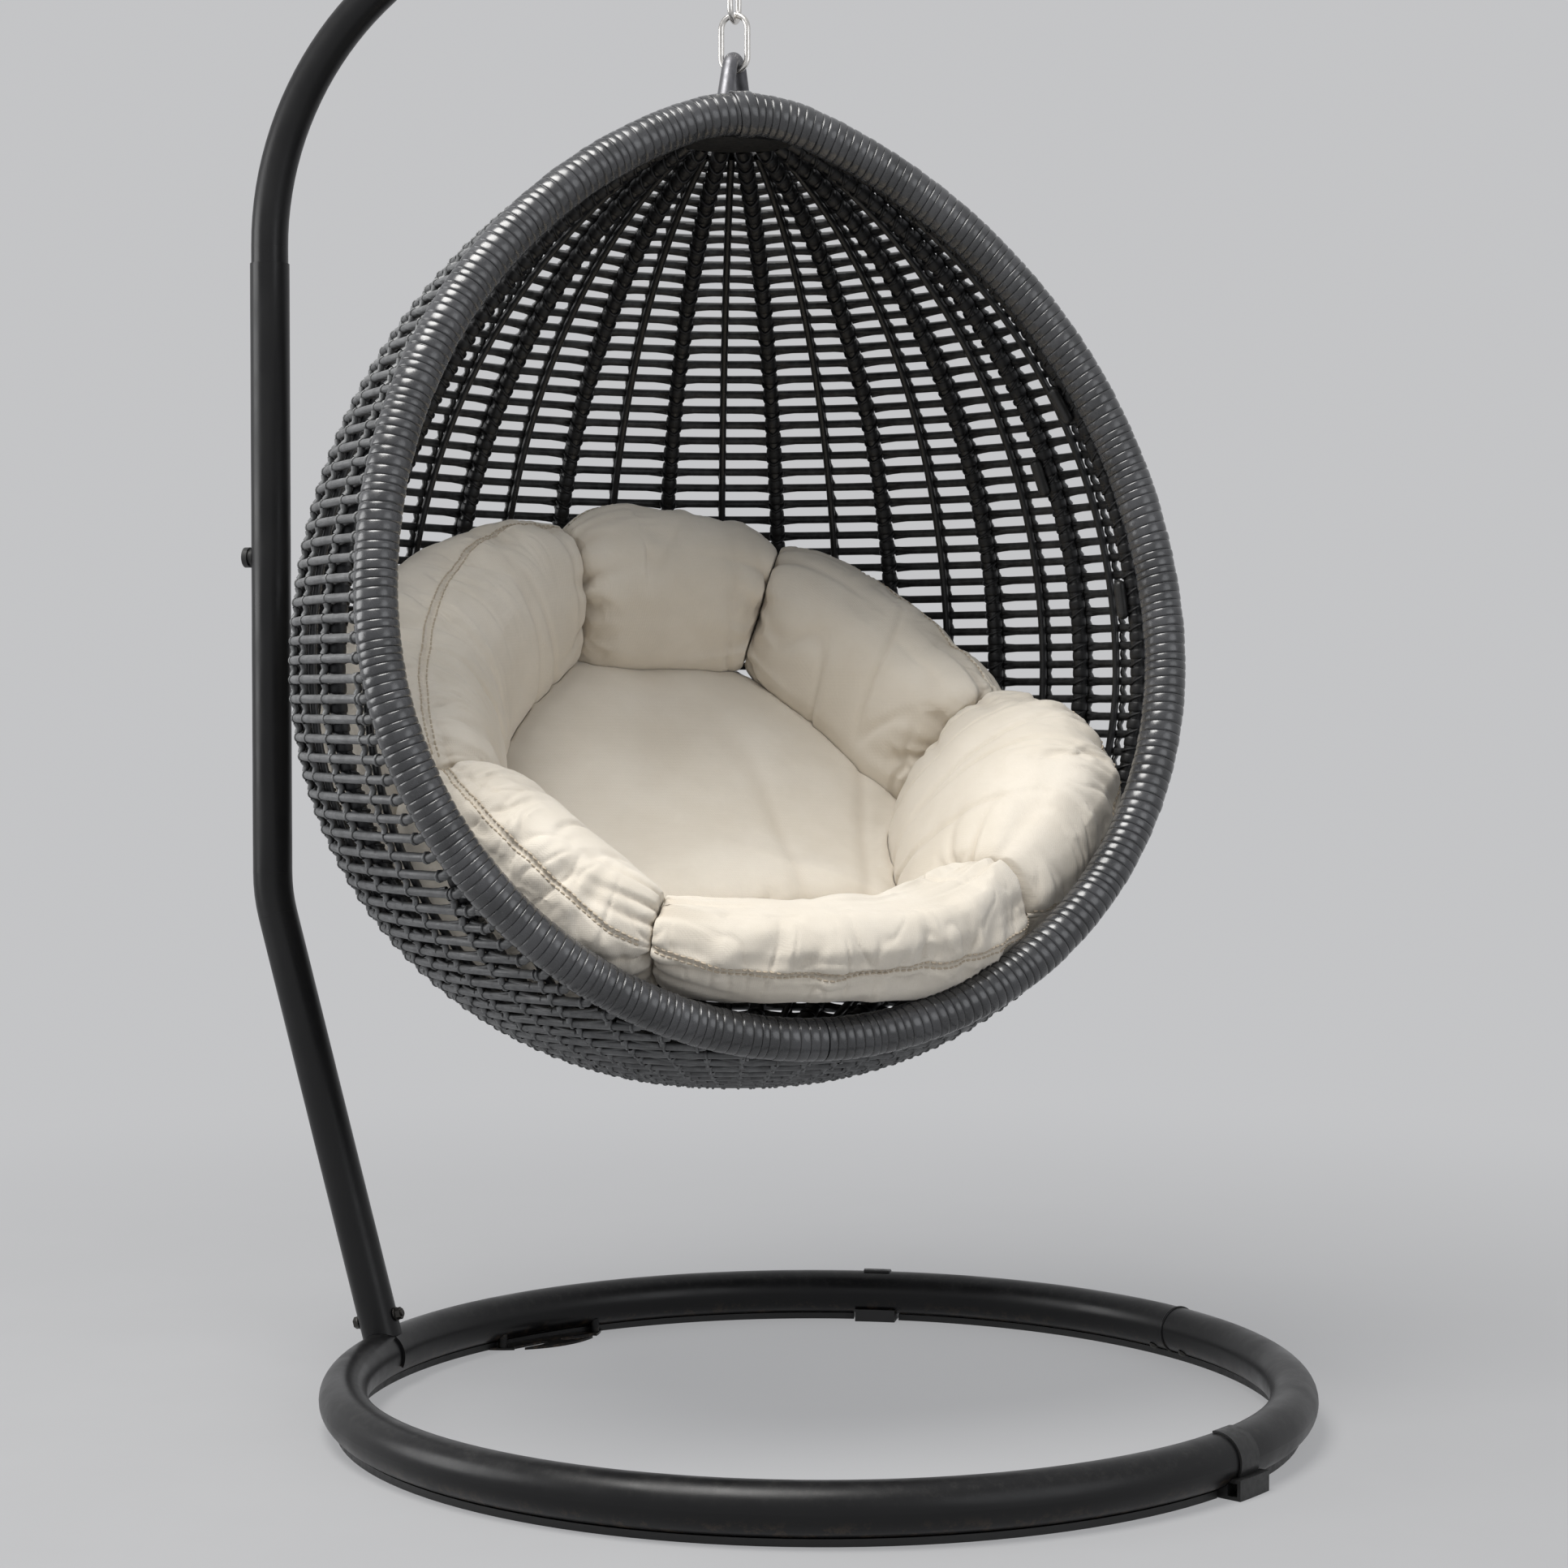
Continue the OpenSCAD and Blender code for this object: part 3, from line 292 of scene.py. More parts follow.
def black_steel():
    s = Mat("black_steel", spec=0.28)
    tone = s.mix(s.noise(5, 3), (0.0045, 0.0045, 0.005), (0.009, 0.009, 0.0095))
    dust = s.math("MULTIPLY", s.up(), s.ramp(s.noise(90, 10, 0.75), 0.46, 0.68, 0.0, 0.45))
    tone = s.mix(dust, tone, (0.035, 0.034, 0.032))
    low = s.ramp(s.xyz()[2], 0.034, 0.006)
    worn = s.math("MULTIPLY", low, s.ramp(s.noise(60, 8, 0.75), 0.5, 0.62, 0.0, 0.8))
    tone = s.mix(worn, tone, (0.07, 0.05, 0.034))
    s.colour(tone)
    s.rough(s.ramp(s.noise(14, 5), 0.25, 0.75, 0.27, 0.42))
    s.bump(s.noise(900, 2), 0.12, 0.0004)
    return s.m


def metal(name, colour, rough, scratch=0.1, metallic=1.0):
    s = Mat(name, metal=metallic)
    grime = s.ramp(s.noise(160, 6, 0.7), 0.45, 0.75, 0.0, 0.55)
    s.colour(s.mix(grime, colour, tuple(c * 0.45 for c in colour)))
    s.rough(s.ramp(s.noise(90, 5), 0.3, 0.7, rough - scratch / 2, rough + scratch))
    s.bump(s.noise(1400, 3), 0.1, 0.0003)
    return s.m


def plastic(name, colour, rough):
    s = Mat(name)
    s.colour(s.mix(s.noise(50, 4), colour, tuple(c * 1.8 for c in colour)))
    s.rough(s.ramp(s.noise(120, 4), 0.3, 0.7, rough - 0.08, rough + 0.1))
    s.bump(s.noise(1600, 2), 0.15, 0.0003)
    return s.m


BASKET_MID = (HX, 0.0, EGG_Z)


def cane(name, outer, inner, grain, rough=0.42, gloss=0.5, shine=0.0):
    """Stained cane with grain lines along the strand, painted paler with pale flecks where it faces out of the
    basket and near-black where it faces into it: painted light and shade, partly a darker inner tone.
    """
    s = Mat(name, spec=gloss)
    lines = s.noise(1.0, 6, 0.6, s.mapping(grain))
    fine = s.noise(1.0, 3, 0.6, s.mapping(tuple(g * 3.1 for g in grain)))
    # painted light and shade: the outward side gets the outer colour and pale flecks, the inward side the near-black
    # inner colour as the shade inside the basket
    out = s.ramp(s.outward(BASKET_MID), -0.35, 0.55)
    tone = s.mix(out, inner, outer)
    tone = s.mix(s.ramp(lines, 0.35, 0.7, 0.0, 0.55), tone, tuple(c * 0.35 for c in outer))
    pale = s.math("MULTIPLY", out, s.ramp(fine, 0.52, 0.75, 0.0, 0.6))
    tone = s.mix(pale, tone, tuple(min(1, c * 2.1) for c in outer))
    blotch = s.ramp(s.noise(48, 6, 0.7), 0.42, 0.62, 0.0, 0.5)
    tone = s.mix(blotch, tone, tuple(c * 0.42 for c in outer))
    s.colour(tone)
    s.rough(s.ramp(s.noise(30, 4), 0.3, 0.7, rough - 0.08, rough + 0.12))
    s.b.inputs["Coat Weight"].default_value = shine
    s.b.inputs["Coat Roughness"].default_value = 0.25
    s.bump(lines, 0.5, 0.0006)
    return s.m


def wrap_cane():
    """Glossy wound strip with small dull specks; the grooves between its turns are painted near-black as painted
    shade.
    """
    s = Mat("wound_strip", spec=0.6)
    groove_shade = s.attr("groove_shade")
    patch = s.ramp(s.noise(22, 5, 0.6), 0.35, 0.7)
    tone = s.mix(patch, (0.024, 0.025, 0.027), (0.052, 0.053, 0.057))
    streak = s.ramp(s.noise(1.0, 5, 0.65, s.mapping((260, 260, 900))), 0.52, 0.78, 0.0, 0.55)
    tone = s.mix(streak, tone, (0.085, 0.085, 0.088))
    # painted shade: the grooves between turns are darkened towards near-black
    tone = s.mix(s.ramp(groove_shade, 0.25, 1.0, 0.0, 0.93), tone, (0.003, 0.003, 0.003))
    s.colour(tone)
    s.rough(s.ramp(s.noise(70, 5, 0.65), 0.3, 0.75, 0.17, 0.38))
    s.b.inputs["Coat Weight"].default_value = 0.35
    s.b.inputs["Coat Roughness"].default_value = 0.16
    s.bump(s.noise(1.0, 4, 0.6, s.mapping((700, 700, 1500))), 0.22, 0.0005)
    return s.m


def canvas():
    """Cream cotton canvas: a fine plain weave with slubs and faint mottling, with painted shade in its folds and
    seam grooves.
    """
    s = Mat("cream_canvas", rough=0.88, spec=0.25)
    mottle = s.noise(9, 5, 0.6)
    tone = s.mix(s.ramp(mottle, 0.3, 0.7), (0.70, 0.640, 0.545), (0.76, 0.703, 0.612))
    slub = s.ramp(s.noise(1.0, 3, 0.6, s.mapping((1500, 260, 1500))), 0.6, 0.8, 0.0, 0.25)
    tone = s.mix(slub, tone, (0.62, 0.555, 0.455))
    fold_shade = s.attr("fold_shade")
    # painted shade: the cloth is darkened in its creases, puckers and seam grooves
    tone = s.mix(s.ramp(fold_shade, 0.2, 1.0, 0.0, 0.5), tone, (0.46, 0.385, 0.295))
    s.colour(tone)
    s.b.inputs["Sheen Weight"].default_value = 0.25
    s.b.inputs["Sheen Roughness"].default_value = 0.5
    threads = []
    for axis in ("X", "Y", "Z"):
        w = s.t.nodes.new("ShaderNodeTexWave")
        w.bands_direction = axis
        w.inputs["Scale"].default_value = 230
        w.inputs["Distortion"].default_value = 1.2
        w.inputs["Detail"].default_value = 2
        s.link(s.obj, w.inputs["Vector"])
        threads.append(w.outputs["Fac"])
    height = s.math("ADD", s.math("ADD", threads[0], threads[1]), threads[2])
    s.bump(s.math("ADD", height, s.math("MULTIPLY", s.noise(700, 3), 1.5)), 0.25, 0.0005)
    return s.m


def thread():
    s = Mat("cream_thread", rough=0.7)
    # the thread is painted darker than the canvas as the shade of the holes it sits in, and warmer as its own tone
    s.colour(s.mix(s.noise(400, 3), (0.47, 0.39, 0.29), (0.58, 0.50, 0.39)))
    return s.m


STEEL = black_steel()
INNER = plastic("primed_steel", (0.05, 0.05, 0.05), 0.6)
FASTENER = metal("dull_fastener", (0.07, 0.067, 0.063), 0.42)
PLASTIC = plastic("black_plastic", (0.010, 0.010, 0.010), 0.42)
CHROME = metal("bright_chain", (0.74, 0.72, 0.69), 0.24)
SWIVEL = metal("bright_swivel", (0.70, 0.69, 0.67), 0.28)
BAIL = metal("dark_bail", (0.14, 0.14, 0.15), 0.4, metallic=0.7)
CROWN = plastic("crown_black", (0.006, 0.006, 0.006), 0.5)
# each cane's second colour is its inward side, painted near-black as the shade inside the basket
HUB = cane("hub_cane", (0.07, 0.072, 0.078), (0.02, 0.02, 0.02), (200, 200, 60))
WEAVER = cane("weaver_cane", (0.150, 0.153, 0.156), (0.007, 0.007, 0.0075), (22, 22, 620), 0.46, 0.35)
RIB = cane("rib_cane", (0.034, 0.035, 0.037), (0.004, 0.004, 0.0045), (480, 480, 30), 0.34, 0.4, 0.1)
TIE = cane("binding_cane", (0.160, 0.164, 0.167), (0.006, 0.006, 0.006), (300, 300, 90), 0.38, 0.45, 0.1)
COLLAR = cane("collar_cane", (0.040, 0.041, 0.044), (0.005, 0.005, 0.0055), (160, 160, 420), 0.45, 0.35)
WRAP = wrap_cane()
CANVAS = canvas()
THREAD = thread()

BY_SLOT = {
    "frame_black": STEEL, "inner_steel": INNER, "fasteners": FASTENER, "black_plastic": PLASTIC,
    "anchor_steel": STEEL, "chain_steel": CHROME, "swivel_steel": SWIVEL, "bail_steel": BAIL,
    "crown_steel": CROWN, "hub_wood": HUB, "rim_wrap": WRAP, "rib_cane": RIB, "weaver_cane": WEAVER,
    "cushion_cloth": CANVAS,
}
for part in frame["record"]["subparts"]:
    ob = NODES[part["node"]]
    ob.data.materials.clear()
    ob.data.materials.append(BY_SLOT[part["material_slot"]])
    ob.data.shade_smooth()
    ob.data.set_sharp_from_angle(angle=math.radians(38))


# ---------------------------------------------------------------- rim wrap
def rim_point(s):
    """Point and tangent of the right-hand half of the rim at length s from its bottom, opening frame."""
    low, mid = RIM_HALF_W * math.pi / 2, RIM_UPPER_R * RIM_TOP_TURN
    out = np.zeros((len(s), 3))
    tan = np.zeros((len(s), 3))
    for (r, start, base, c) in (
            (RIM_HALF_W, 0.0, -math.pi / 2, (0.0, RIM_MID_V)),
            (RIM_UPPER_R, low, 0.0, (RIM_HALF_W - RIM_UPPER_R, RIM_MID_V)),
            (RIM_CROWN_R, low + mid, RIM_TOP_TURN, (0.0, RIM_TOP_V - RIM_CROWN_R))):
        a = base + (s - start) / r
        on = s >= start
        out[on] = np.stack([c[0] + r * np.cos(a), c[1] + r * np.sin(a), 0 * a], -1)[on]
        tan[on] = np.stack([-np.sin(a), np.cos(a), 0 * a], -1)[on]
    return out, tan


RIM_LEN = RIM_HALF_W * math.pi / 2 + RIM_UPPER_R * RIM_TOP_TURN + RIM_CROWN_R * (math.pi / 2 - RIM_TOP_TURN)


def opening_to_world(p):
    u, v, w = p[..., 0], p[..., 1], p[..., 2]
    x = OPEN_D + w * math.cos(LEAN) - v * math.sin(LEAN)
    z = EGG_Z + w * math.sin(LEAN) + v * math.cos(LEAN)
    return to_world(np.stack([x, u, z], -1))


# where each turn of the strip has its rings of points, -1 to 1 across its width
TURN_SHAPE = np.array([-1.0, -0.93, -0.82, -0.55, 0.0, 0.55, 0.82, 0.93])
WOUND_SEGS = 28
WOUND_SPILL = 0.004


def wound(name, node, mirror, start, end, pitch, radius, tilt, seed):
    """Strip wound round the rim between two lengths: one rounded band a turn."""
    r = random.Random(seed)
    turns = max(2, round((end - start) / pitch))
    widths = np.array([1 + 0.20 * r.uniform(-1, 1) for _ in range(turns)])
    edges = start + (end - start) * np.concatenate([[0], np.cumsum(widths)]) / widths.sum()
    s, rad, groove_shade, lean = [], [], [], []
    for k in range(turns):
        top = radius + 0.0004 * r.uniform(-1, 1)
        t = tilt * (1 + 0.35 * r.uniform(-1, 1))
        for x in TURN_SHAPE:
            s.append((edges[k] + edges[k + 1]) / 2 + x * (edges[k + 1] - edges[k]) / 2)
            rad.append(top - 0.0013 * abs(x) ** 6 - (0.0008 if x == -1 else 0))
            # how much painted shade the material puts at this ring, most at the groove's edges
            groove_shade.append(abs(x) ** 12)
            lean.append(t)
    s.append(edges[-1])
    rad.append(radius - 0.002)
    groove_shade.append(1)
    lean.append(tilt)
    s, rad, groove_shade, lean = map(np.array, (s, rad, groove_shade, lean))
    ang = circle(WOUND_SEGS)
    skew = lean[:, None] * np.cos(ang - 0.6)[None] * (-1.0 if mirror else 1.0)
    ss = np.clip(s[:, None] + skew, start - WOUND_SPILL, end + WOUND_SPILL)
    mid, tan = rim_point(np.clip(ss, 0, RIM_LEN * 1.02).ravel())
    side = np.stack([tan[:, 1], -tan[:, 0], 0 * tan[:, 0]], -1)
    ca, sa = np.tile(np.cos(ang), len(s)), np.tile(np.sin(ang), len(s))
    rr = np.repeat(rad, WOUND_SEGS)[:, None]
    pts = mid + rr * (ca[:, None] * side + sa[:, None] * UP)
    quads = skin_quads(len(s), WOUND_SEGS)
    if mirror:
        pts[:, 0] *= -1
    else:
        quads = quads[:, ::-1]
    ob = mesh_object(name, opening_to_world(pts), quads, "basket", WRAP)
    point_values(ob.data, "groove_shade", np.repeat(groove_shade, WOUND_SEGS))
    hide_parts(node)


RIM_END, TURN_PITCH, TURN_TILT = RIM_LEN - 0.002, 0.0104, 0.0017
wound("rim_wound_right", "rim_wrap_right", False, 0.0, RIM_END, TURN_PITCH, WRAP_R, TURN_TILT, 3)
wound("rim_wound_left", "rim_wrap_left", True, 0.0, RIM_END, TURN_PITCH, WRAP_R, TURN_TILT, 5)
wound("crown_wound", "crown_binding", True, RIM_LEN - 0.020, RIM_LEN + 0.003, 0.0105, WRAP_R + 0.0024, 0.0040, 11)

# ---------------------------------------------------------------- crossings of the weave
# radius, height and slope of each weaver, from the bottom up
WEAVERS = []
for k in range(LOWER_ROWS - 1, -1, -1):
    t, r = (k + 0.5) * LOWER_STEP, LOWER_R + WEAVER_OFF
    WEAVERS.append((LOWER_X + r * math.cos(t), EGG_Z - r * math.sin(t), -t))
for k in range(UPPER_ROWS):
    t, r = (k + 0.5) * UPPER_STEP, UPPER_R + WEAVER_OFF
    WEAVERS.append((UPPER_X + r * math.cos(t), EGG_Z + r * math.sin(t), t))
WEAVERS = np.array(WEAVERS)
RIM_GAP = 0.0006
END_BACK = 0.006


def weave_frame(phi, k):
    """Point on weaver k in direction phi, with its outward, up-the-egg and sideways directions."""
    r, z, t = WEAVERS[k, 0], WEAVERS[k, 1], WEAVERS[k, 2]
    c, s = np.cos(phi), np.sin(phi)
    p = np.stack([r * c, r * s, z], -1)
    n = np.stack([np.cos(t) * c, np.cos(t) * s, np.sin(t)], -1)
    m = np.stack([-np.sin(t) * c, -np.sin(t) * s, np.cos(t)], -1)
    e = np.stack([-s, c, 0 * c], -1)
    return p, n, m, e


def stop_angle(k):
    """Direction at which weaver k meets the rim, 0 if it runs all the way round."""
    r, z = WEAVERS[k, 0], WEAVERS[k, 1]
    c = min(1, abs(plane_x(z) - WRAP_R) / r) * math.cos(LEAN)
    clear = WRAP_R + RIM_GAP + WEAVER_R * math.hypot(c, math.sin(LEAN))
    stop = plane_x(z) - clear / math.cos(LEAN)
    return 0.0 if stop >= r else math.acos(max(-1, stop / r))


STOPS = np.array([stop_angle(k) for k in range(len(WEAVERS))])
cross_phi, cross_k, cross_thick = [], [], []
for j in range(RODS):
    phi = math.radians(ROD_STEP * j)
    for k in range(len(WEAVERS)):
        if abs(wrapped(phi)) > STOPS[k] + END_BACK / WEAVERS[k, 0] or STOPS[k] == 0:
            cross_phi.append(phi)
            cross_k.append(k)
            cross_thick.append(j % 2 == 1)
cross_phi, cross_k, cross_thick = np.array(cross_phi), np.array(cross_k), np.array(cross_thick)
P, N, M, E = weave_frame(cross_phi, cross_k)
jit = np.random.default_rng(21)


def arc_paths(p, a, b, radius, half, pts=10):
    """Arcs round points p, from -half to half degrees about direction a."""
    ang = np.radians(np.linspace(-half, half, pts))
    return p[:, None] + radius * (np.cos(ang)[None, :, None] * a[:, None] + np.sin(ang)[None, :, None] * b[:, None])


# a tie over the weaver at each crossing
TIE_R, END_RING_R = 0.0014, 0.0019
shift = jit.uniform(-0.0012, 0.0012, (len(P), 1))
tiltm = jit.uniform(-0.25, 0.25, (len(P), 1))
paths = arc_paths(P + shift * E, N, unit(M + tiltm * E), WEAVER_R + 0.0005, 118)
ties = tubes(paths, TIE_R, 6, 1.0, E)
# a ring at each end of a weaver, against the rim
ENDS = [(side, k) for k in range(len(WEAVERS)) for side in (-1, 1) if STOPS[k] > 0]
end_side, end_k = np.array(ENDS).T
end_phi = end_side * (STOPS[end_k] + END_BACK / WEAVERS[end_k, 0])
pe, ne, mo, ee = weave_frame(end_phi, end_k)
rings = tubes(arc_paths(pe, ne, mo, WEAVER_R + 0.0006, 170), END_RING_R, 6, 1.0, ee)
v, q = merge([ties, rings])
mesh_object("weaver_bindings", to_world(v), q, "basket", TIE)

# weavers run on into the wrapped rim
RIM_SINK = 0.004
rim_mid, _ = rim_point(np.linspace(0, RIM_LEN, 400))
rim_mid = np.concatenate([rim_mid, rim_mid * [-1, 1, 1]])
rim_mid = to_basket(opening_to_world(rim_mid))
tip = weave_frame(end_side * STOPS[end_k], end_k)[0]
nearest = rim_mid[np.argmin(np.linalg.norm(tip[:, None] - rim_mid[None], axis=2), axis=1)]
into = nearest + (WRAP_R - RIM_SINK) * unit(tip - nearest)
paths = np.stack([pe, tip, tip * 0.45 + into * 0.55, into], 1)
v, q = tubes(paths, np.array([[0.0048, 0.0052, 0.0052, 0.0050]]), 12, 1.0, mo)
mesh_object("weaver_ends", to_world(v), q, "basket", WEAVER)

# the solids' rods in these directions end at the egg's widest height: here they run on up to the crown
UPPER_RODS = range(11, 30)
CROWN_HUB_R, STAKE_END_R = 0.075, 0.100
uppers = []
for j in UPPER_RODS:
    phi = math.radians(ROD_STEP * j)
    radius, off, end_r = (RIB_R, RIB_OFF, CROWN_HUB_R) if j % 2 else (STAKE_R, STAKE_OFF, STAKE_END_R)
    t = np.linspace(0, math.acos((end_r - UPPER_X) / (UPPER_R + off)), 48)
    r = UPPER_X + (UPPER_R + off) * np.cos(t)
    path = np.stack([r * math.cos(phi), r * math.sin(phi), EGG_Z + (UPPER_R + off) * np.sin(t)], -1)
    uppers.append(tubes(path[None], radius, 14, 1.0, np.array([[-math.sin(phi), math.cos(phi), 0.0]])))
v, q = merge(uppers)
mesh_object("rod_uppers", to_world(v), q, "basket", RIB)

# strands that climb in front of the ribs and stakes from weaver to weaver
at = [(round(math.degrees(a)), k) for a, k in zip(cross_phi, cross_k)]
index = {key: i for i, key in enumerate(at)}
low = np.array([i for i, (a, k) in enumerate(at) if (a, k + 1) in index])
high = np.array([index[at[i][0], at[i][1] + 1] for i in low])
slip = jit.uniform(0.0002, 0.0022, (len(low), 1))
STRAND_THICK, STRAND_THIN = 0.0046, 0.0040
END_RISE, END_RUN = 0.0018, 0.0042
wide = np.where(cross_thick[low], STRAND_THICK, STRAND_THIN)[:, None]
mid_out = unit(N[low] + N[high])
a0 = P[low] + END_RISE * N[low] + END_RUN * M[low] - slip * E[low]
a4 = P[high] + END_RISE * N[high] - END_RUN * M[high] + slip * E[high]
paths = np.stack([
    a0,
    a0 * 0.72 + a4 * 0.28 - 0.0020 * mid_out,
    (a0 + a4) / 2 - 0.0030 * mid_out,
    a0 * 0.28 + a4 * 0.72 - 0.0020 * mid_out,
    a4], 1)
strands = tubes(paths, wide * np.array([[0.92, 1.0, 0.96, 1.0, 0.92]]), 8, 0.9, mid_out)
mesh_object("binding_strands", to_world(strands[0]), strands[1], "basket", TIE)

# collars and V-shaped ties on the thick ribs
thick = cross_thick[low]
lo, hi = low[thick], high[thick]
rib_drop = -(WEAVER_OFF - RIB_OFF)
c0 = P[lo] + rib_drop * N[lo]
c1 = P[hi] + rib_drop * N[hi]
axis = unit(c1 - c0)
frac = np.array([0.20, 0.24, 0.34, 0.5, 0.66, 0.76, 0.80])
swell = np.array([0.0080, 0.0092, 0.0097, 0.0098, 0.0096, 0.0090, 0.0080])
grow = jit.uniform(0.97, 1.05, (len(lo), 1))
paths = c0[:, None] + (c1 - c0)[:, None] * frac[None, :, None]
collars = tubes(paths, swell[None] * grow, 14, 1.0, unit(N[lo] + N[hi]))
rib_i = np.nonzero(cross_thick)[0]
ang = np.radians(np.linspace(-100, 100, 9))
rp, rn, rm, re = P[rib_i] + rib_drop * N[rib_i], N[rib_i], M[rib_i], E[rib_i]
drop = jit.uniform(0.0025, 0.0050, (len(rib_i), 1))
h = -drop * (1 - np.abs(ang)[None] / ang.max() * 2)
KNOT_RISE, KNOT_R = 0.0012, 0.0017
around = np.sin(ang)[None, :, None] * re[:, None] - np.cos(ang)[None, :, None] * rn[:, None]
paths = rp[:, None] + (RIB_R + KNOT_RISE) * around + h[:, :, None] * rm[:, None]
knots = tubes(paths, KNOT_R * np.array([[0.9, 1, 1, 1, 1.25, 1, 1, 1, 0.9]]), 6, 1.0, rm)
v, q = merge([collars, knots])
mesh_object("rib_collars", to_world(v), q, "basket", COLLAR)

# weavers flare into two strands where they reach a thick rib: distance beside it, depth and spread
FLARE = ((0.0070, 0.0040, 0.0033), (0.0160, 0.0022, 0.0025), (0.0270, 0.0012, 0.0017), (0.0400, 0.0004, 0.0008))
FLARE_R = np.array([[0.0030, 0.0030, 0.0031, 0.0034]])
flares = []
for s in (-1, 1):
    for u in (-1, 1):
        paths = np.stack([P[rib_i] + s * e * re - n * rn + u * m * rm for e, n, m in FLARE], 1)
        flares.append(tubes(paths, FLARE_R, 8, 1.0, rn))
v, q = merge(flares)
mesh_object("weaver_flares", to_world(v), q, "basket", WEAVER)

# ---------------------------------------------------------------- nest cushion
BOLSTERS = ["cushion_head", "cushion_upper_left", "cushion_upper_right", "cushion_lower_left",
            "cushion_lower_right", "cushion_front"]
PADS = ["cushion_back_pad", "cushion_seat_pad"]
CUSHIONS = BOLSTERS + PADS
NEST_TILT = math.radians(31.5)
NEST_K, NEST_Z = math.tan(NEST_TILT), EGG_Z - 0.29 * LOWER_R
RIB_INSIDE = 0.0168
# directions of each bolster's two end seams, degrees
SEAMS = {"cushion_front": (-37, 56), "cushion_lower_right": (56, 113), "cushion_upper_right": (113, 155),
         "cushion_head": (155, 192), "cushion_upper_left": (-168, -92), "cushion_lower_left": (-92, -37)}
SECTION_R = 0.09


def seam_span(node):
    return [math.radians(a) for a in SEAMS[node]]


def from_middle(node, phi):
    """Directions counted from a bolster's middle, and that of its end seams."""
    lo, hi = seam_span(node)
    return wrapped(phi - (lo + hi) / 2), (hi - lo) / 2


def side_share(phi):
    """How far a direction is to the side, where the nest is fuller and higher."""
    return np.abs(np.sin(phi)) ** 3


def half_thick(phi):
    return 0.072 + 0.014 * side_share(phi)


def half_high(phi):
    return 0.068 + 0.047 * (1 - np.cos(phi)) / 2 + 0.056 * side_share(phi)


def nest_height(phi, r):
    return NEST_Z - NEST_K * r * math.cos(phi) - 0.058 * side_share(phi)


def side_r(z, off):
    """Radius of the egg's side at a height."""
    if z > EGG_Z:
        return UPPER_X + math.sqrt((UPPER_R + off) ** 2 - (z - EGG_Z) ** 2)
    return LOWER_X + math.sqrt((LOWER_R + off) ** 2 - (z - EGG_Z) ** 2)


def nest_r(phi):
    """Radius of the nest's middle line, which keeps the bolster inside the egg."""
    w = (1 - math.cos(phi)) / 2
    inset = half_thick(phi) + 0.0006 + (1 - w) * (WRAP_R + 0.003) + w * RIB_INSIDE
    r = 0.35
    for _ in range(14):
        r = (r + side_r(nest_height(phi, r), -inset)) / 2
    return r


def nest_mid(phi):
    r = nest_r(phi)
    return np.array([r * math.cos(phi), r * math.sin(phi), nest_height(phi, r)])


NEST_STEP = 0.017


def nest_frame(phi):
    """The nest's middle point in one direction, with the directions along it, inwards and up."""
    p, r = nest_mid(phi), nest_r(phi)
    x = UPPER_X if p[2] > EGG_Z else LOWER_X
    v = unit(np.array([x - r, EGG_Z - p[2]]))
    inward = np.array([v[0] * math.cos(phi), v[0] * math.sin(phi), v[1]])
    along = unit(nest_mid(phi + NEST_STEP) - nest_mid(phi - NEST_STEP))
    return p, along, inward, unit(np.cross(along, inward))


TABLE_PHI = np.radians(np.arange(-180, 181, 1.0))
TABLE = [nest_frame(a) for a in TABLE_PHI]
T_MID, T_ALONG, T_IN, T_UP = (np.array([t[i] for t in TABLE]) for i in range(4))


def ring_coords(pts):
    """Direction round the nest and angle round the bolster's section, both in radians."""
    phi = np.arctan2(pts[:, 1], pts[:, 0])
    for _ in range(3):
        f = (np.degrees(phi) + 180)
        i = np.clip(f.astype(int), 0, 359)
        w = (f - i)[:, None]
        mid = T_MID[i] * (1 - w) + T_MID[i + 1] * w
        along = T_ALONG[i] * (1 - w) + T_ALONG[i + 1] * w
        r = np.linalg.norm(mid[:, :2], axis=1)
        phi = phi + np.einsum("ij,ij->i", pts - mid, along) / r * 0.9
        phi = wrapped(phi)
    inward = T_IN[i] * (1 - w) + T_IN[i + 1] * w
    up = T_UP[i] * (1 - w) + T_UP[i + 1] * w
    d = pts - mid
    t = np.arctan2(np.einsum("ij,ij->i", d, inward) / half_thick(phi), np.einsum("ij,ij->i", d, up) / half_high(phi))
    return phi, t, mid


# the outer seam of the cover: its direction round the section, from the front round to the back
SEAM_PHI = np.radians([-180, -160, -139, -126, -117, -105, -96, -84, -73, -61, -52, -44, -36, -25,
                       12, 33, 63, 75, 82, 90, 97, 104, 115, 135, 160, 180])
SEAM_AT = np.radians([-20, 5, 34, 42, 44, 37, 26, 12, 0, -13, -29, -48, -62, -70,
                      -69, -67, -62, -47, -36, -26, -17, -4, -8, -20, -25, -20])


def seam_t(phi):
    return np.interp(phi, SEAM_PHI, SEAM_AT)


def table_row(phi):
    return np.clip(np.degrees(phi) + 180, 0, 359.999).astype(int)


def evaluated_copy(ob):
    dg = bpy.context.evaluated_depsgraph_get()
    dg.update()
    return bpy.data.meshes.new_from_object(ob.evaluated_get(dg), depsgraph=dg)


def coords(me, what="co"):
    a = np.empty(len(me.vertices) * 3, np.float32)
    me.vertices.foreach_get(what, a)
    return a.reshape(-1, 3).astype(float)


def set_coords(me, v):
    me.vertices.foreach_set("co", np.ascontiguousarray(v, np.float32).ravel())
    me.update()


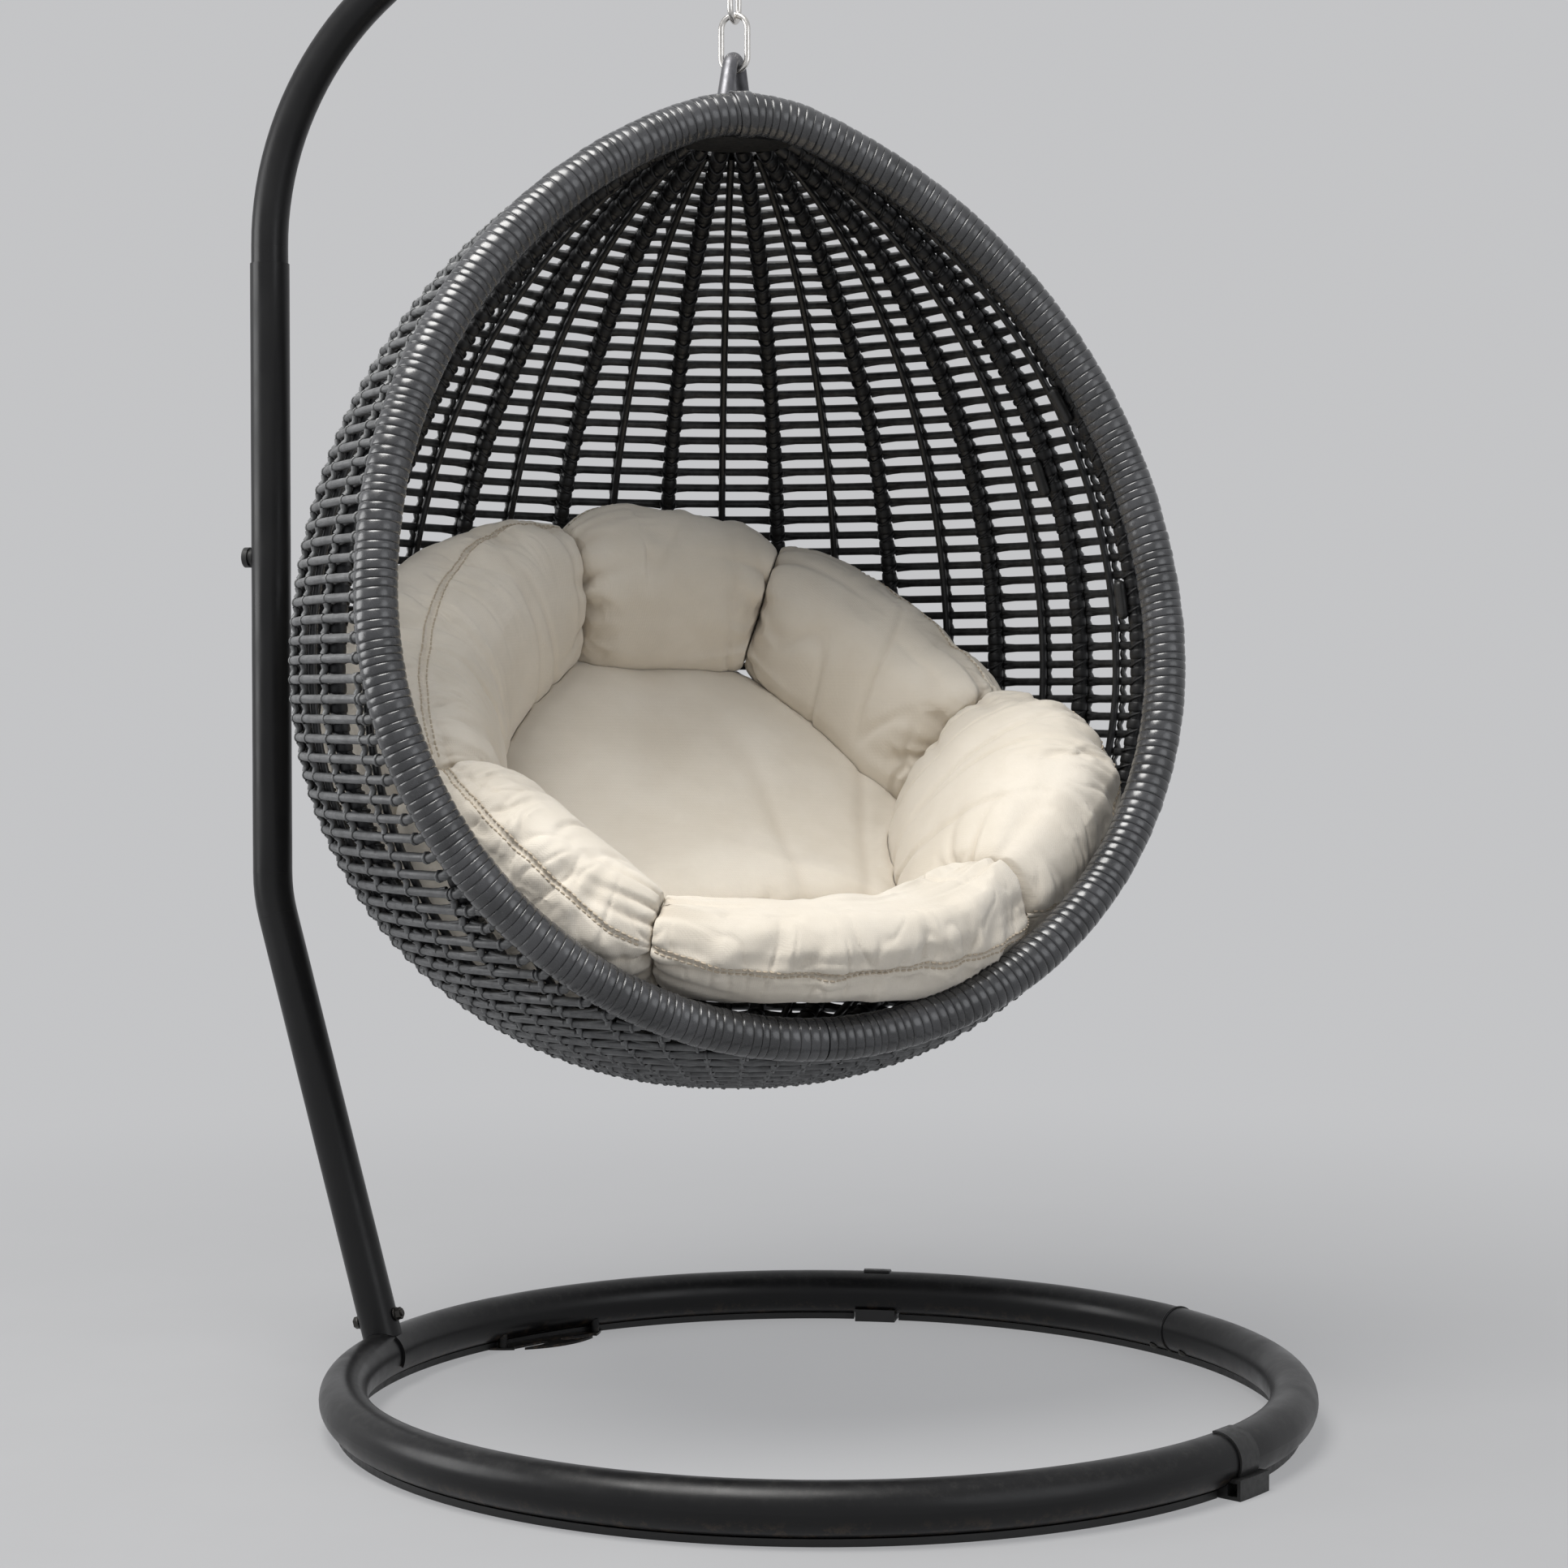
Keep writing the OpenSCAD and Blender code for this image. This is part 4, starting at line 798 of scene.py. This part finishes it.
# how far the sewn bolster departs from its plain solid, by direction: up, down, inward and outward
FORM_PHI = np.radians([-180, -150, -120, -92, -70, -45, -37, -20, 0, 20,
                       40, 56, 70, 85, 100, 113, 125, 140, 155, 180])
FORM = 0.001 * np.array([
    [-9, -6, -6, -9, -12, -18, -21, -21, -21, -15, -15, -18, 9, 28, 12, -40, -52, -36, -12, -9],
    [9, 26, 28, 15, 6, 3, 6, 9, 9, 9, 9, 6, 6, 12, 22, 18, 9, 0, -6, 9],
    [6, 26, 28, 28, 12, -21, -30, -33, -33, -24, -21, -21, -9, 0, 6, -15, -6, -3, 0, 6],
    [0, 0, 0, 0, 0, 0, 0, 0, 3, 6, 12, 18, 18, 21, 9, -12, -12, -6, -3, 0]])


def reform(b):
    """Basket points of a plain bolster moved to the sewn bolster's form."""
    phi, _, mid = ring_coords(b)
    i = table_row(phi)
    up, inward = T_UP[i], T_IN[i]
    a = np.einsum("ij,ij->i", b - mid, up)
    c = np.einsum("ij,ij->i", b - mid, inward)
    d = [np.interp(phi, FORM_PHI, row) for row in FORM]
    ka = np.where(a > 0, d[0], d[1]) / half_high(phi)
    kc = np.where(c > 0, d[2], d[3]) / half_thick(phi)
    return b + (a * ka)[:, None] * up + (c * kc)[:, None] * inward


def in_shell(b, gap=0.002):
    """Basket points kept off the ribs."""
    z = b[:, 2] - EGG_Z
    off = -RIB_INSIDE - gap
    lim = np.where(z > 0, UPPER_X + np.sqrt(np.maximum(0, (UPPER_R + off) ** 2 - z * z)),
                   LOWER_X + np.sqrt(np.maximum(0, (LOWER_R + off) ** 2 - z * z)))
    r = np.hypot(b[:, 0], b[:, 1])
    k = np.minimum(1, lim / np.maximum(r, 1e-9))[:, None]
    return np.concatenate([b[:, :2] * k, b[:, 2:]], 1)


def tree_of(ob):
    me = ob.data
    v = [tuple(c) for c in coords(me)]
    return BVHTree.FromPolygons(v, [tuple(f.vertices) for f in me.polygons])


def clear_of(v, trees, gap, reach=0.03, on=None):
    """World points pushed out of the given closed pieces."""
    for i in (range(len(v)) if on is None else np.nonzero(on)[0]):
        for tree in trees:
            loc, nor, _, _ = tree.find_nearest(Vector(v[i]), reach)
            if loc is not None and (Vector(v[i]) - loc).dot(nor) < gap:
                v[i] = loc + nor * gap
    return v


RIM_TREES = [tree_of(bpy.data.objects[n]) for n in ("rim_wound_right", "rim_wound_left")]


def near_rim(b):
    """Points close enough to the plane of the opening to touch the rim."""
    return (b[:, 0] - plane_x(b[:, 2])) * math.cos(LEAN) > -0.060


PAD_NORMAL = np.array([math.sin(NEST_TILT), 0, math.cos(NEST_TILT)])
PAD_GROWTH = 0.024


def spread_pad(b, node):
    """A pad that runs on under the bolsters and lies flatter in its middle."""
    m = b.mean(0)
    phi = np.arctan2(b[:, 1] - m[1], b[:, 0] - m[0])
    d = b - m
    flat = d - (d @ PAD_NORMAL)[:, None] * PAD_NORMAL
    r = np.linalg.norm(flat, axis=1)
    bins = np.linspace(-math.pi, math.pi, 49)
    edge = np.array([r[(phi >= lo) & (phi <= hi)].max() for lo, hi in zip(bins[:-1], bins[1:])])
    share = r / np.interp(phi, (bins[:-1] + bins[1:]) / 2, edge, period=2 * math.pi)
    # the back pad grows most at its back, the seat pad at its front
    if node == "cushion_back_pad":
        most, crown, run = 0.052, -0.016, (0.10 - d[:, 0]) / 0.10
    else:
        most, crown, run = 0.030, -0.006, (d[:, 0] + 0.06) / 0.06
    grow = PAD_GROWTH + (most - PAD_GROWTH) * np.clip(run, 0, 1)
    away = flat / np.maximum(r, 1e-6)[:, None]
    on_top = d @ PAD_NORMAL > 0
    rise = crown * np.clip(1 - share ** 2, 0, 1) * on_top + 0.010 * share ** 4
    return b + away * (grow * share ** 3)[:, None] + PAD_NORMAL * rise[:, None]


def cushion_start(node):
    """The cloth before it is blown up: the plain solid, remeshed and moved to its sewn form."""
    pad = node in PADS
    me = NODES[node].data.copy()
    me.name = node + "_cloth"
    ob = bpy.data.objects.new(node.replace("cushion_", "cloth_"), me)
    scene.collection.objects.link(ob)
    mod = ob.modifiers.new("skin", "REMESH")
    mod.mode = "VOXEL"
    mod.voxel_size = 0.007 if pad else 0.006
    ob.data = evaluated_copy(ob)
    ob.modifiers.clear()
    v = coords(ob.data) - (0.003 if pad else 0.004) * coords(ob.data, "normal")
    b = to_basket(v)
    b = in_shell(spread_pad(b, node) if pad else reform(b), 0.004)
    set_coords(ob.data, to_world(b))
    return ob


cloths = {n: cushion_start(n) for n in CUSHIONS}
starts = {n: coords(o.data) for n, o in cloths.items()}
CLOTH_FRAMES = 20
for node, ob in cloths.items():
    pad = node in PADS
    mod = ob.modifiers.new("cloth", "CLOTH")
    mod.settings.quality = 4
    mod.settings.mass = 0.25
    mod.settings.use_pressure = True
    mod.settings.uniform_pressure_force = 1.5 if pad else 4.0
    mod.settings.shrink_min = -0.02 if pad else -0.05
    mod.settings.tension_stiffness = 12
    mod.settings.compression_stiffness = 12
    mod.settings.bending_stiffness = 0.4
    mod.settings.effector_weights.gravity = 0
    mod.point_cache.frame_start = 1
    mod.point_cache.frame_end = CLOTH_FRAMES
for f in range(1, CLOTH_FRAMES + 1):
    scene.frame_set(f)
for node, ob in cloths.items():
    me = evaluated_copy(ob)
    ob.modifiers.clear()
    cap = 0.008 if node in PADS else 0.014
    move = coords(me) - starts[node]
    size = np.linalg.norm(move, axis=1, keepdims=True)
    move *= cap * np.tanh(size / cap) / np.maximum(size, 1e-9)
    set_coords(me, starts[node] + move)
    ob.data = me
scene.frame_set(1)


def noise_at(p, scale, seed):
    off = Vector((seed * 3.1, seed * 7.7, seed * 1.3))
    return np.array([noise.noise(Vector(q) * scale + off) for q in p])


def ridges(value, width):
    """Narrow soft folds where a noise field crosses zero, 0 to 1."""
    return np.exp(-(value / width) ** 2)


def dress_bolster(node, b):
    """Lift of the cloth, and how much painted shade its folds and seam groove get, at each point of a bolster."""
    phi, t, mid = ring_coords(b)
    seed = CUSHIONS.index(node) + 1
    off, half = from_middle(node, phi)
    r = np.linalg.norm(mid[:, :2], axis=1)
    to_end = np.maximum(0, (half - np.abs(off)) * r)
    side = np.sign(off)
    # creases that run in from the end seams
    ends = np.stack([np.cos(t) * 1.6, np.sin(t) * 1.6, side * 3 + off * 0.9], -1)
    crease = ridges(noise_at(ends, 1.15, seed), 0.17)
    reach = np.clip(1 - to_end / 0.16, 0, 1) ** 1.5
    lift = -0.0062 * crease * reach
    # the second number is the painted shade the canvas gets in each crease, pucker and seam groove
    fold_shade = crease * reach * 0.7
    # puckers along the outer seam
    seam = wrapped(t - seam_t(phi)) * SECTION_R
    along = phi * r
    sway = noise_at(b, 5.0, seed + 90) * 0.012
    slant = seam * 0.8 * noise_at(np.stack([along, 0 * t, 0 * t], -1), 22.0, seed + 30)
    run = along + sway + slant
    puck = noise_at(np.stack([run, 0.16 * seam, 0 * phi], -1), 34.0, seed + 20)
    tight = ridges(noise_at(np.stack([run, 0.3 * seam, 0 * phi], -1), 47.0, seed + 25), 0.13)
    near = np.where(seam > 0, np.exp(-(seam / 0.060) ** 2), np.exp(-(seam / 0.035) ** 2))
    near *= 1 - 0.75 * np.exp(-(seam / 0.010) ** 2)
    amount = 0.0045 if node in ("cushion_upper_right", "cushion_head") else 0.0078
    lift -= amount * (np.clip(puck * 2.0, -0.7, 1) + 0.45 * tight) * near
    fold_shade = np.maximum(fold_shade, np.maximum(np.clip(puck * 2.4 - 0.25, 0, 1), 0.8 * tight) * near * 0.6)
    lift -= 0.0034 * np.exp(-(seam / 0.0034) ** 2)
    # a narrow line of painted shade along the seam's groove
    fold_shade = np.maximum(fold_shade, 0.75 * np.exp(-(seam / 0.0022) ** 2))
    # long soft folds over the broad inner face
    face = np.clip(np.sin(t) * 1.3, 0, 1)
    long_fold = ridges(noise_at(np.stack([along, t * 0.035, 0 * t], -1), 11.0, seed + 50), 0.07)
    lift -= 0.0042 * long_fold * face
    fold_shade = np.maximum(fold_shade, 0.45 * long_fold * face)
    return lift + 0.0040 * noise_at(b, 9.0, seed + 40) + 0.0015 * noise_at(b, 24.0, seed + 60), fold_shade


def dress_pad(node, b):
    """The same for a pad: long folds that run across it."""
    seed = CUSHIONS.index(node) + 1
    lane = np.stack([b[:, 1] + 0.35 * b[:, 0], b[:, 0] * 0.18, b[:, 2] * 0.18], -1)
    f1 = ridges(noise_at(lane, 5.0, seed + 50), 0.07)
    lift = -0.0044 * f1 + 0.0050 * noise_at(b, 7.0, seed + 40) + 0.0016 * noise_at(b, 22.0, seed + 60)
    # the second number is painted shade in the pad's long folds
    return lift, 0.5 * f1


SEAM_GAP = 0.0009


def dress_cushion(node, ob):
    """Folds, clearances and the cloth's material on one cushion."""
    mod = ob.modifiers.new("fine", "SUBSURF")
    mod.levels = mod.render_levels = 1
    ob.data = me = evaluated_copy(ob)
    ob.modifiers.clear()
    v = coords(me)
    pad = node in PADS
    lift, fold_shade = (dress_pad if pad else dress_bolster)(node, to_basket(v))
    b = in_shell(to_basket(v + coords(me, "normal") * lift[:, None]))
    if not pad:
        # neighbours meet in a plane at the seam between them
        phi, _, mid = ring_coords(b)
        off, half = from_middle(node, phi)
        r = np.linalg.norm(mid[:, :2], axis=1)
        over = np.maximum(0, np.abs(off) - half + SEAM_GAP / r) * np.sign(off) * r
        b = b - over[:, None] * T_ALONG[table_row(phi)]
    v = to_world(b)
    v = clear_of(v, RIM_TREES, 0.0015, on=near_rim(b))
    if pad:
        v = clear_of(v, DRESSED_TREES, 0.0008, 0.06)
    set_coords(me, v)
    # the canvas darkens the cloth by this number: painted shade in creases, puckers and seam grooves
    point_values(me, "fold_shade", fold_shade)
    me.materials.clear()
    me.materials.append(CANVAS)
    me.shade_smooth()
    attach(ob, "basket")
    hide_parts(node)


for node in BOLSTERS:
    dress_cushion(node, cloths[node])
# each pad is kept off the bolsters, and the seat pad off the back pad
DRESSED_TREES = [tree_of(cloths[node]) for node in BOLSTERS]
for node in PADS:
    dress_cushion(node, cloths[node])
    DRESSED_TREES.append(tree_of(cloths[node]))


# ---------------------------------------------------------------- stitching and piping
SEAM_INSET = 0.012


def seam_line(node, shift, step):
    """Points and normals along the outer seam of one bolster, a given distance beside the seam."""
    lo, hi = seam_span(node)
    tree = DRESSED_TREES[CUSHIONS.index(node)]
    line = []
    for phi in np.arange(lo + SEAM_INSET, hi - SEAM_INSET, step):
        phi = wrapped(phi)
        i = int(min(359, math.degrees(phi) + 180))
        w = math.degrees(phi) + 180 - i
        t = float(seam_t(phi)) + shift / SECTION_R
        d = unit(math.cos(t) * half_high(phi) * T_UP[i] + math.sin(t) * half_thick(phi) * T_IN[i])
        a = to_world(T_MID[i] * (1 - w) + T_MID[i + 1] * w + 0.2 * d)
        hit = tree.ray_cast(Vector(a), Vector(turn_world(-d)), 0.2)
        if hit[0] is not None:
            line.append((np.array(hit[0]), np.array(hit[1])))
    return np.array([h[0] for h in line]), np.array([h[1] for h in line])


def pick(at, d, arr):
    """Rows of arr, known at lengths d, at the lengths at."""
    return np.stack([np.interp(at, d, arr[:, k]) for k in range(3)], -1)


STITCH_GAP, STITCH_LONG, STITCH_R = 0.0076, 0.0052, 0.0011
# a stitch's points: place along it, half lengths, and height over the cloth
STITCH = ((-1, -0.0006), (-0.6, 0.0006), (0, 0.0011), (0.6, 0.0006), (1, -0.0006))


def stitch_row(node, shift):
    pts, nor = seam_line(node, shift, 0.008)
    d = np.concatenate([[0], np.cumsum(np.linalg.norm(np.diff(pts, axis=0), axis=1))])
    at = np.arange(STITCH_GAP / 2, d[-1] - STITCH_GAP / 2, STITCH_GAP)
    n = unit(pick(at, d, nor))
    rows = [pick(at + u * STITCH_LONG / 2, d, pts) + lift * n for u, lift in STITCH]
    return tubes(np.stack(rows, 1), STITCH_R, 6, 0.8, n)


TWICE_SEWN = ("cushion_upper_left", "cushion_lower_left", "cushion_front")
PIPED = ("cushion_lower_right", "cushion_upper_right", "cushion_head")
PIPE_R, PIPE_RISE = 0.0030, 0.0016
rows = [stitch_row(node, shift) for node in TWICE_SEWN for shift in (-0.0044, 0.0044)]
rows += [stitch_row(node, 0.0066) for node in PIPED]
v, q = merge(rows)
mesh_object("seam_stitches", v, q, "basket", THREAD)
pipes = []
for node in PIPED:
    pts, nor = seam_line(node, 0.0, 0.012)
    for _ in range(3):
        pts[1:-1] = (pts[:-2] + 2 * pts[1:-1] + pts[2:]) / 4
    pipes.append(tubes((pts + PIPE_RISE * nor)[None], np.full((1, len(pts)), PIPE_R), 10, 1.0, unit(nor)[None]))
v, q = merge(pipes)
mesh_object("seam_piping", v, q, "basket", CANVAS)

# ---------------------------------------------------------------- ring seam
SEAM_ANGLE, SEAM_LIP_R = math.radians(50), 0.0018
ring_lo, ring_hi = (np.array(c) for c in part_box("base_ring"))
# base_ring's box takes in the post's socket, so its middle is measured from the far side and the floor side
ring_mid = np.array([ring_hi[0] - (RING_R + RING_TUBE_R), 0.0, ring_lo[2] + RING_TUBE_R])
out = np.array([math.cos(SEAM_ANGLE), math.sin(SEAM_ANGLE), 0.0])
a = circle(48)
path = ring_mid + RING_R * out + RING_TUBE_R * (np.cos(a)[:, None] * out + np.sin(a)[:, None] * UP)
v, q = tubes(path[None], SEAM_LIP_R, 8, 1.0, np.array([[-out[1], out[0], 0.0]]), closed=True)
mesh_object("ring_seam_lip", v, q, "stand", STEEL)

# ---------------------------------------------------------------- floor, backdrop colour, light, camera
FLOOR_HALF, FLOOR_CELLS = 9.0, 60
BACK = (0.552, 0.555, 0.566)


def seen_rays(tree):
    """1 for the rays that show the background itself, so that it lights nothing."""
    path = tree.nodes.new("ShaderNodeLightPath")
    seen = path.outputs["Is Camera Ray"]
    for ray in ("Is Glossy Ray", "Is Transmission Ray"):
        either = tree.nodes.new("ShaderNodeMath")
        either.operation = "MAXIMUM"
        tree.links.new(seen, either.inputs[0])
        tree.links.new(path.outputs[ray], either.inputs[1])
        seen = either.outputs[0]
    return seen


def show(tree, share, plain, other, output):
    """Shows the plain shader, and the other in its place by the share."""
    both = tree.nodes.new("ShaderNodeMixShader")
    for i, socket in enumerate((share, plain, other)):
        tree.links.new(socket, both.inputs[i])
    tree.links.new(both.outputs[0], tree.nodes[output].inputs["Surface"])


line = [-FLOOR_HALF + 2 * FLOOR_HALF * i / FLOOR_CELLS for i in range(FLOOR_CELLS + 1)]
row = len(line)
corners = [j * row + i for j in range(FLOOR_CELLS) for i in range(FLOOR_CELLS)]
me = bpy.data.meshes.new("floor")
me.from_pydata([(x, y, 0.0) for y in line for x in line], [], [(a, a + 1, a + row + 1, a + row) for a in corners])
floor = bpy.data.objects.new("floor", me)
scene.collection.objects.link(floor)
s = Mat("pale_floor", rough=0.75, spec=0.2)
s.colour(s.mix(s.ramp(s.noise(3, 6, 0.6), 0.3, 0.7), (0.385, 0.387, 0.393), (0.405, 0.407, 0.413)))
far = s.ramp(s.vec("LENGTH", s.obj)[1], 0.5, 2.9, 0.55, 1.0)
emit = s.t.nodes.new("ShaderNodeEmission")
emit.inputs["Color"].default_value = (*BACK, 1)
share = s.math("MULTIPLY", far, seen_rays(s.t))
show(s.t, share, s.b.outputs[0], emit.outputs[0], "Material Output")
floor.data.materials.append(s.m)

world = bpy.data.worlds.new("studio")
scene.world = world
world.use_nodes = True
wt = world.node_tree
light = wt.nodes["Background"]
light.inputs["Color"].default_value = (0.80, 0.82, 0.86, 1)
light.inputs["Strength"].default_value = 0.41
backdrop = wt.nodes.new("ShaderNodeBackground")
backdrop.inputs["Color"].default_value = (*BACK, 1)
show(wt, seen_rays(wt), light.outputs[0], backdrop.outputs[0], "World Output")


def lamp(name, at, target, size, power, colour=(1, 1, 1)):
    data = bpy.data.lights.new(name, "AREA")
    data.shape = "DISK"
    data.size = size
    data.energy = power
    data.color = colour
    ob = bpy.data.objects.new(name, data)
    scene.collection.objects.link(ob)
    ob.location = at
    ob.rotation_euler = (Vector(target) - Vector(at)).to_track_quat("-Z", "Y").to_euler()


# the camera that was fitted to the photo: its direction from +Y, its tilt below level, degrees, and its place
CAMERA_TURN, CAMERA_TILT = 17, 1.637
CAMERA_AT = (1.0718, -3.3778, 0.8384)
LENS_MM, SENSOR_MM = 69.41, 36


def level(degrees):
    return Vector((math.cos(math.radians(degrees)), math.sin(math.radians(degrees)), 0))


RIGHT, AWAY = level(CAMERA_TURN), level(CAMERA_TURN + 90)


def from_view(right, away, up):
    """A place given as the camera sees it, from the origin."""
    return RIGHT * right + AWAY * away + Vector((0, 0, up))


lamp("key", from_view(-1.0, -1.2, 3.9), (0, 0, 0.7), 2.2, 152, (1.0, 0.985, 0.96))
lamp("fill", from_view(2.8, -2.6, 1.8), (0, 0, 0.8), 2.6, 24, (0.95, 0.97, 1.0))
lamp("side", from_view(-3.2, -0.2, 1.5), (0, 0, 0.9), 2.0, 40)

cam = bpy.data.cameras.new("camera")
cam.lens = LENS_MM
cam.sensor_width = SENSOR_MM
eye = bpy.data.objects.new("camera", cam)
scene.collection.objects.link(eye)
eye.location = CAMERA_AT
eye.rotation_euler = (math.radians(90 - CAMERA_TILT), 0, math.radians(CAMERA_TURN))
scene.camera = eye
scene.view_settings.view_transform = "Standard"
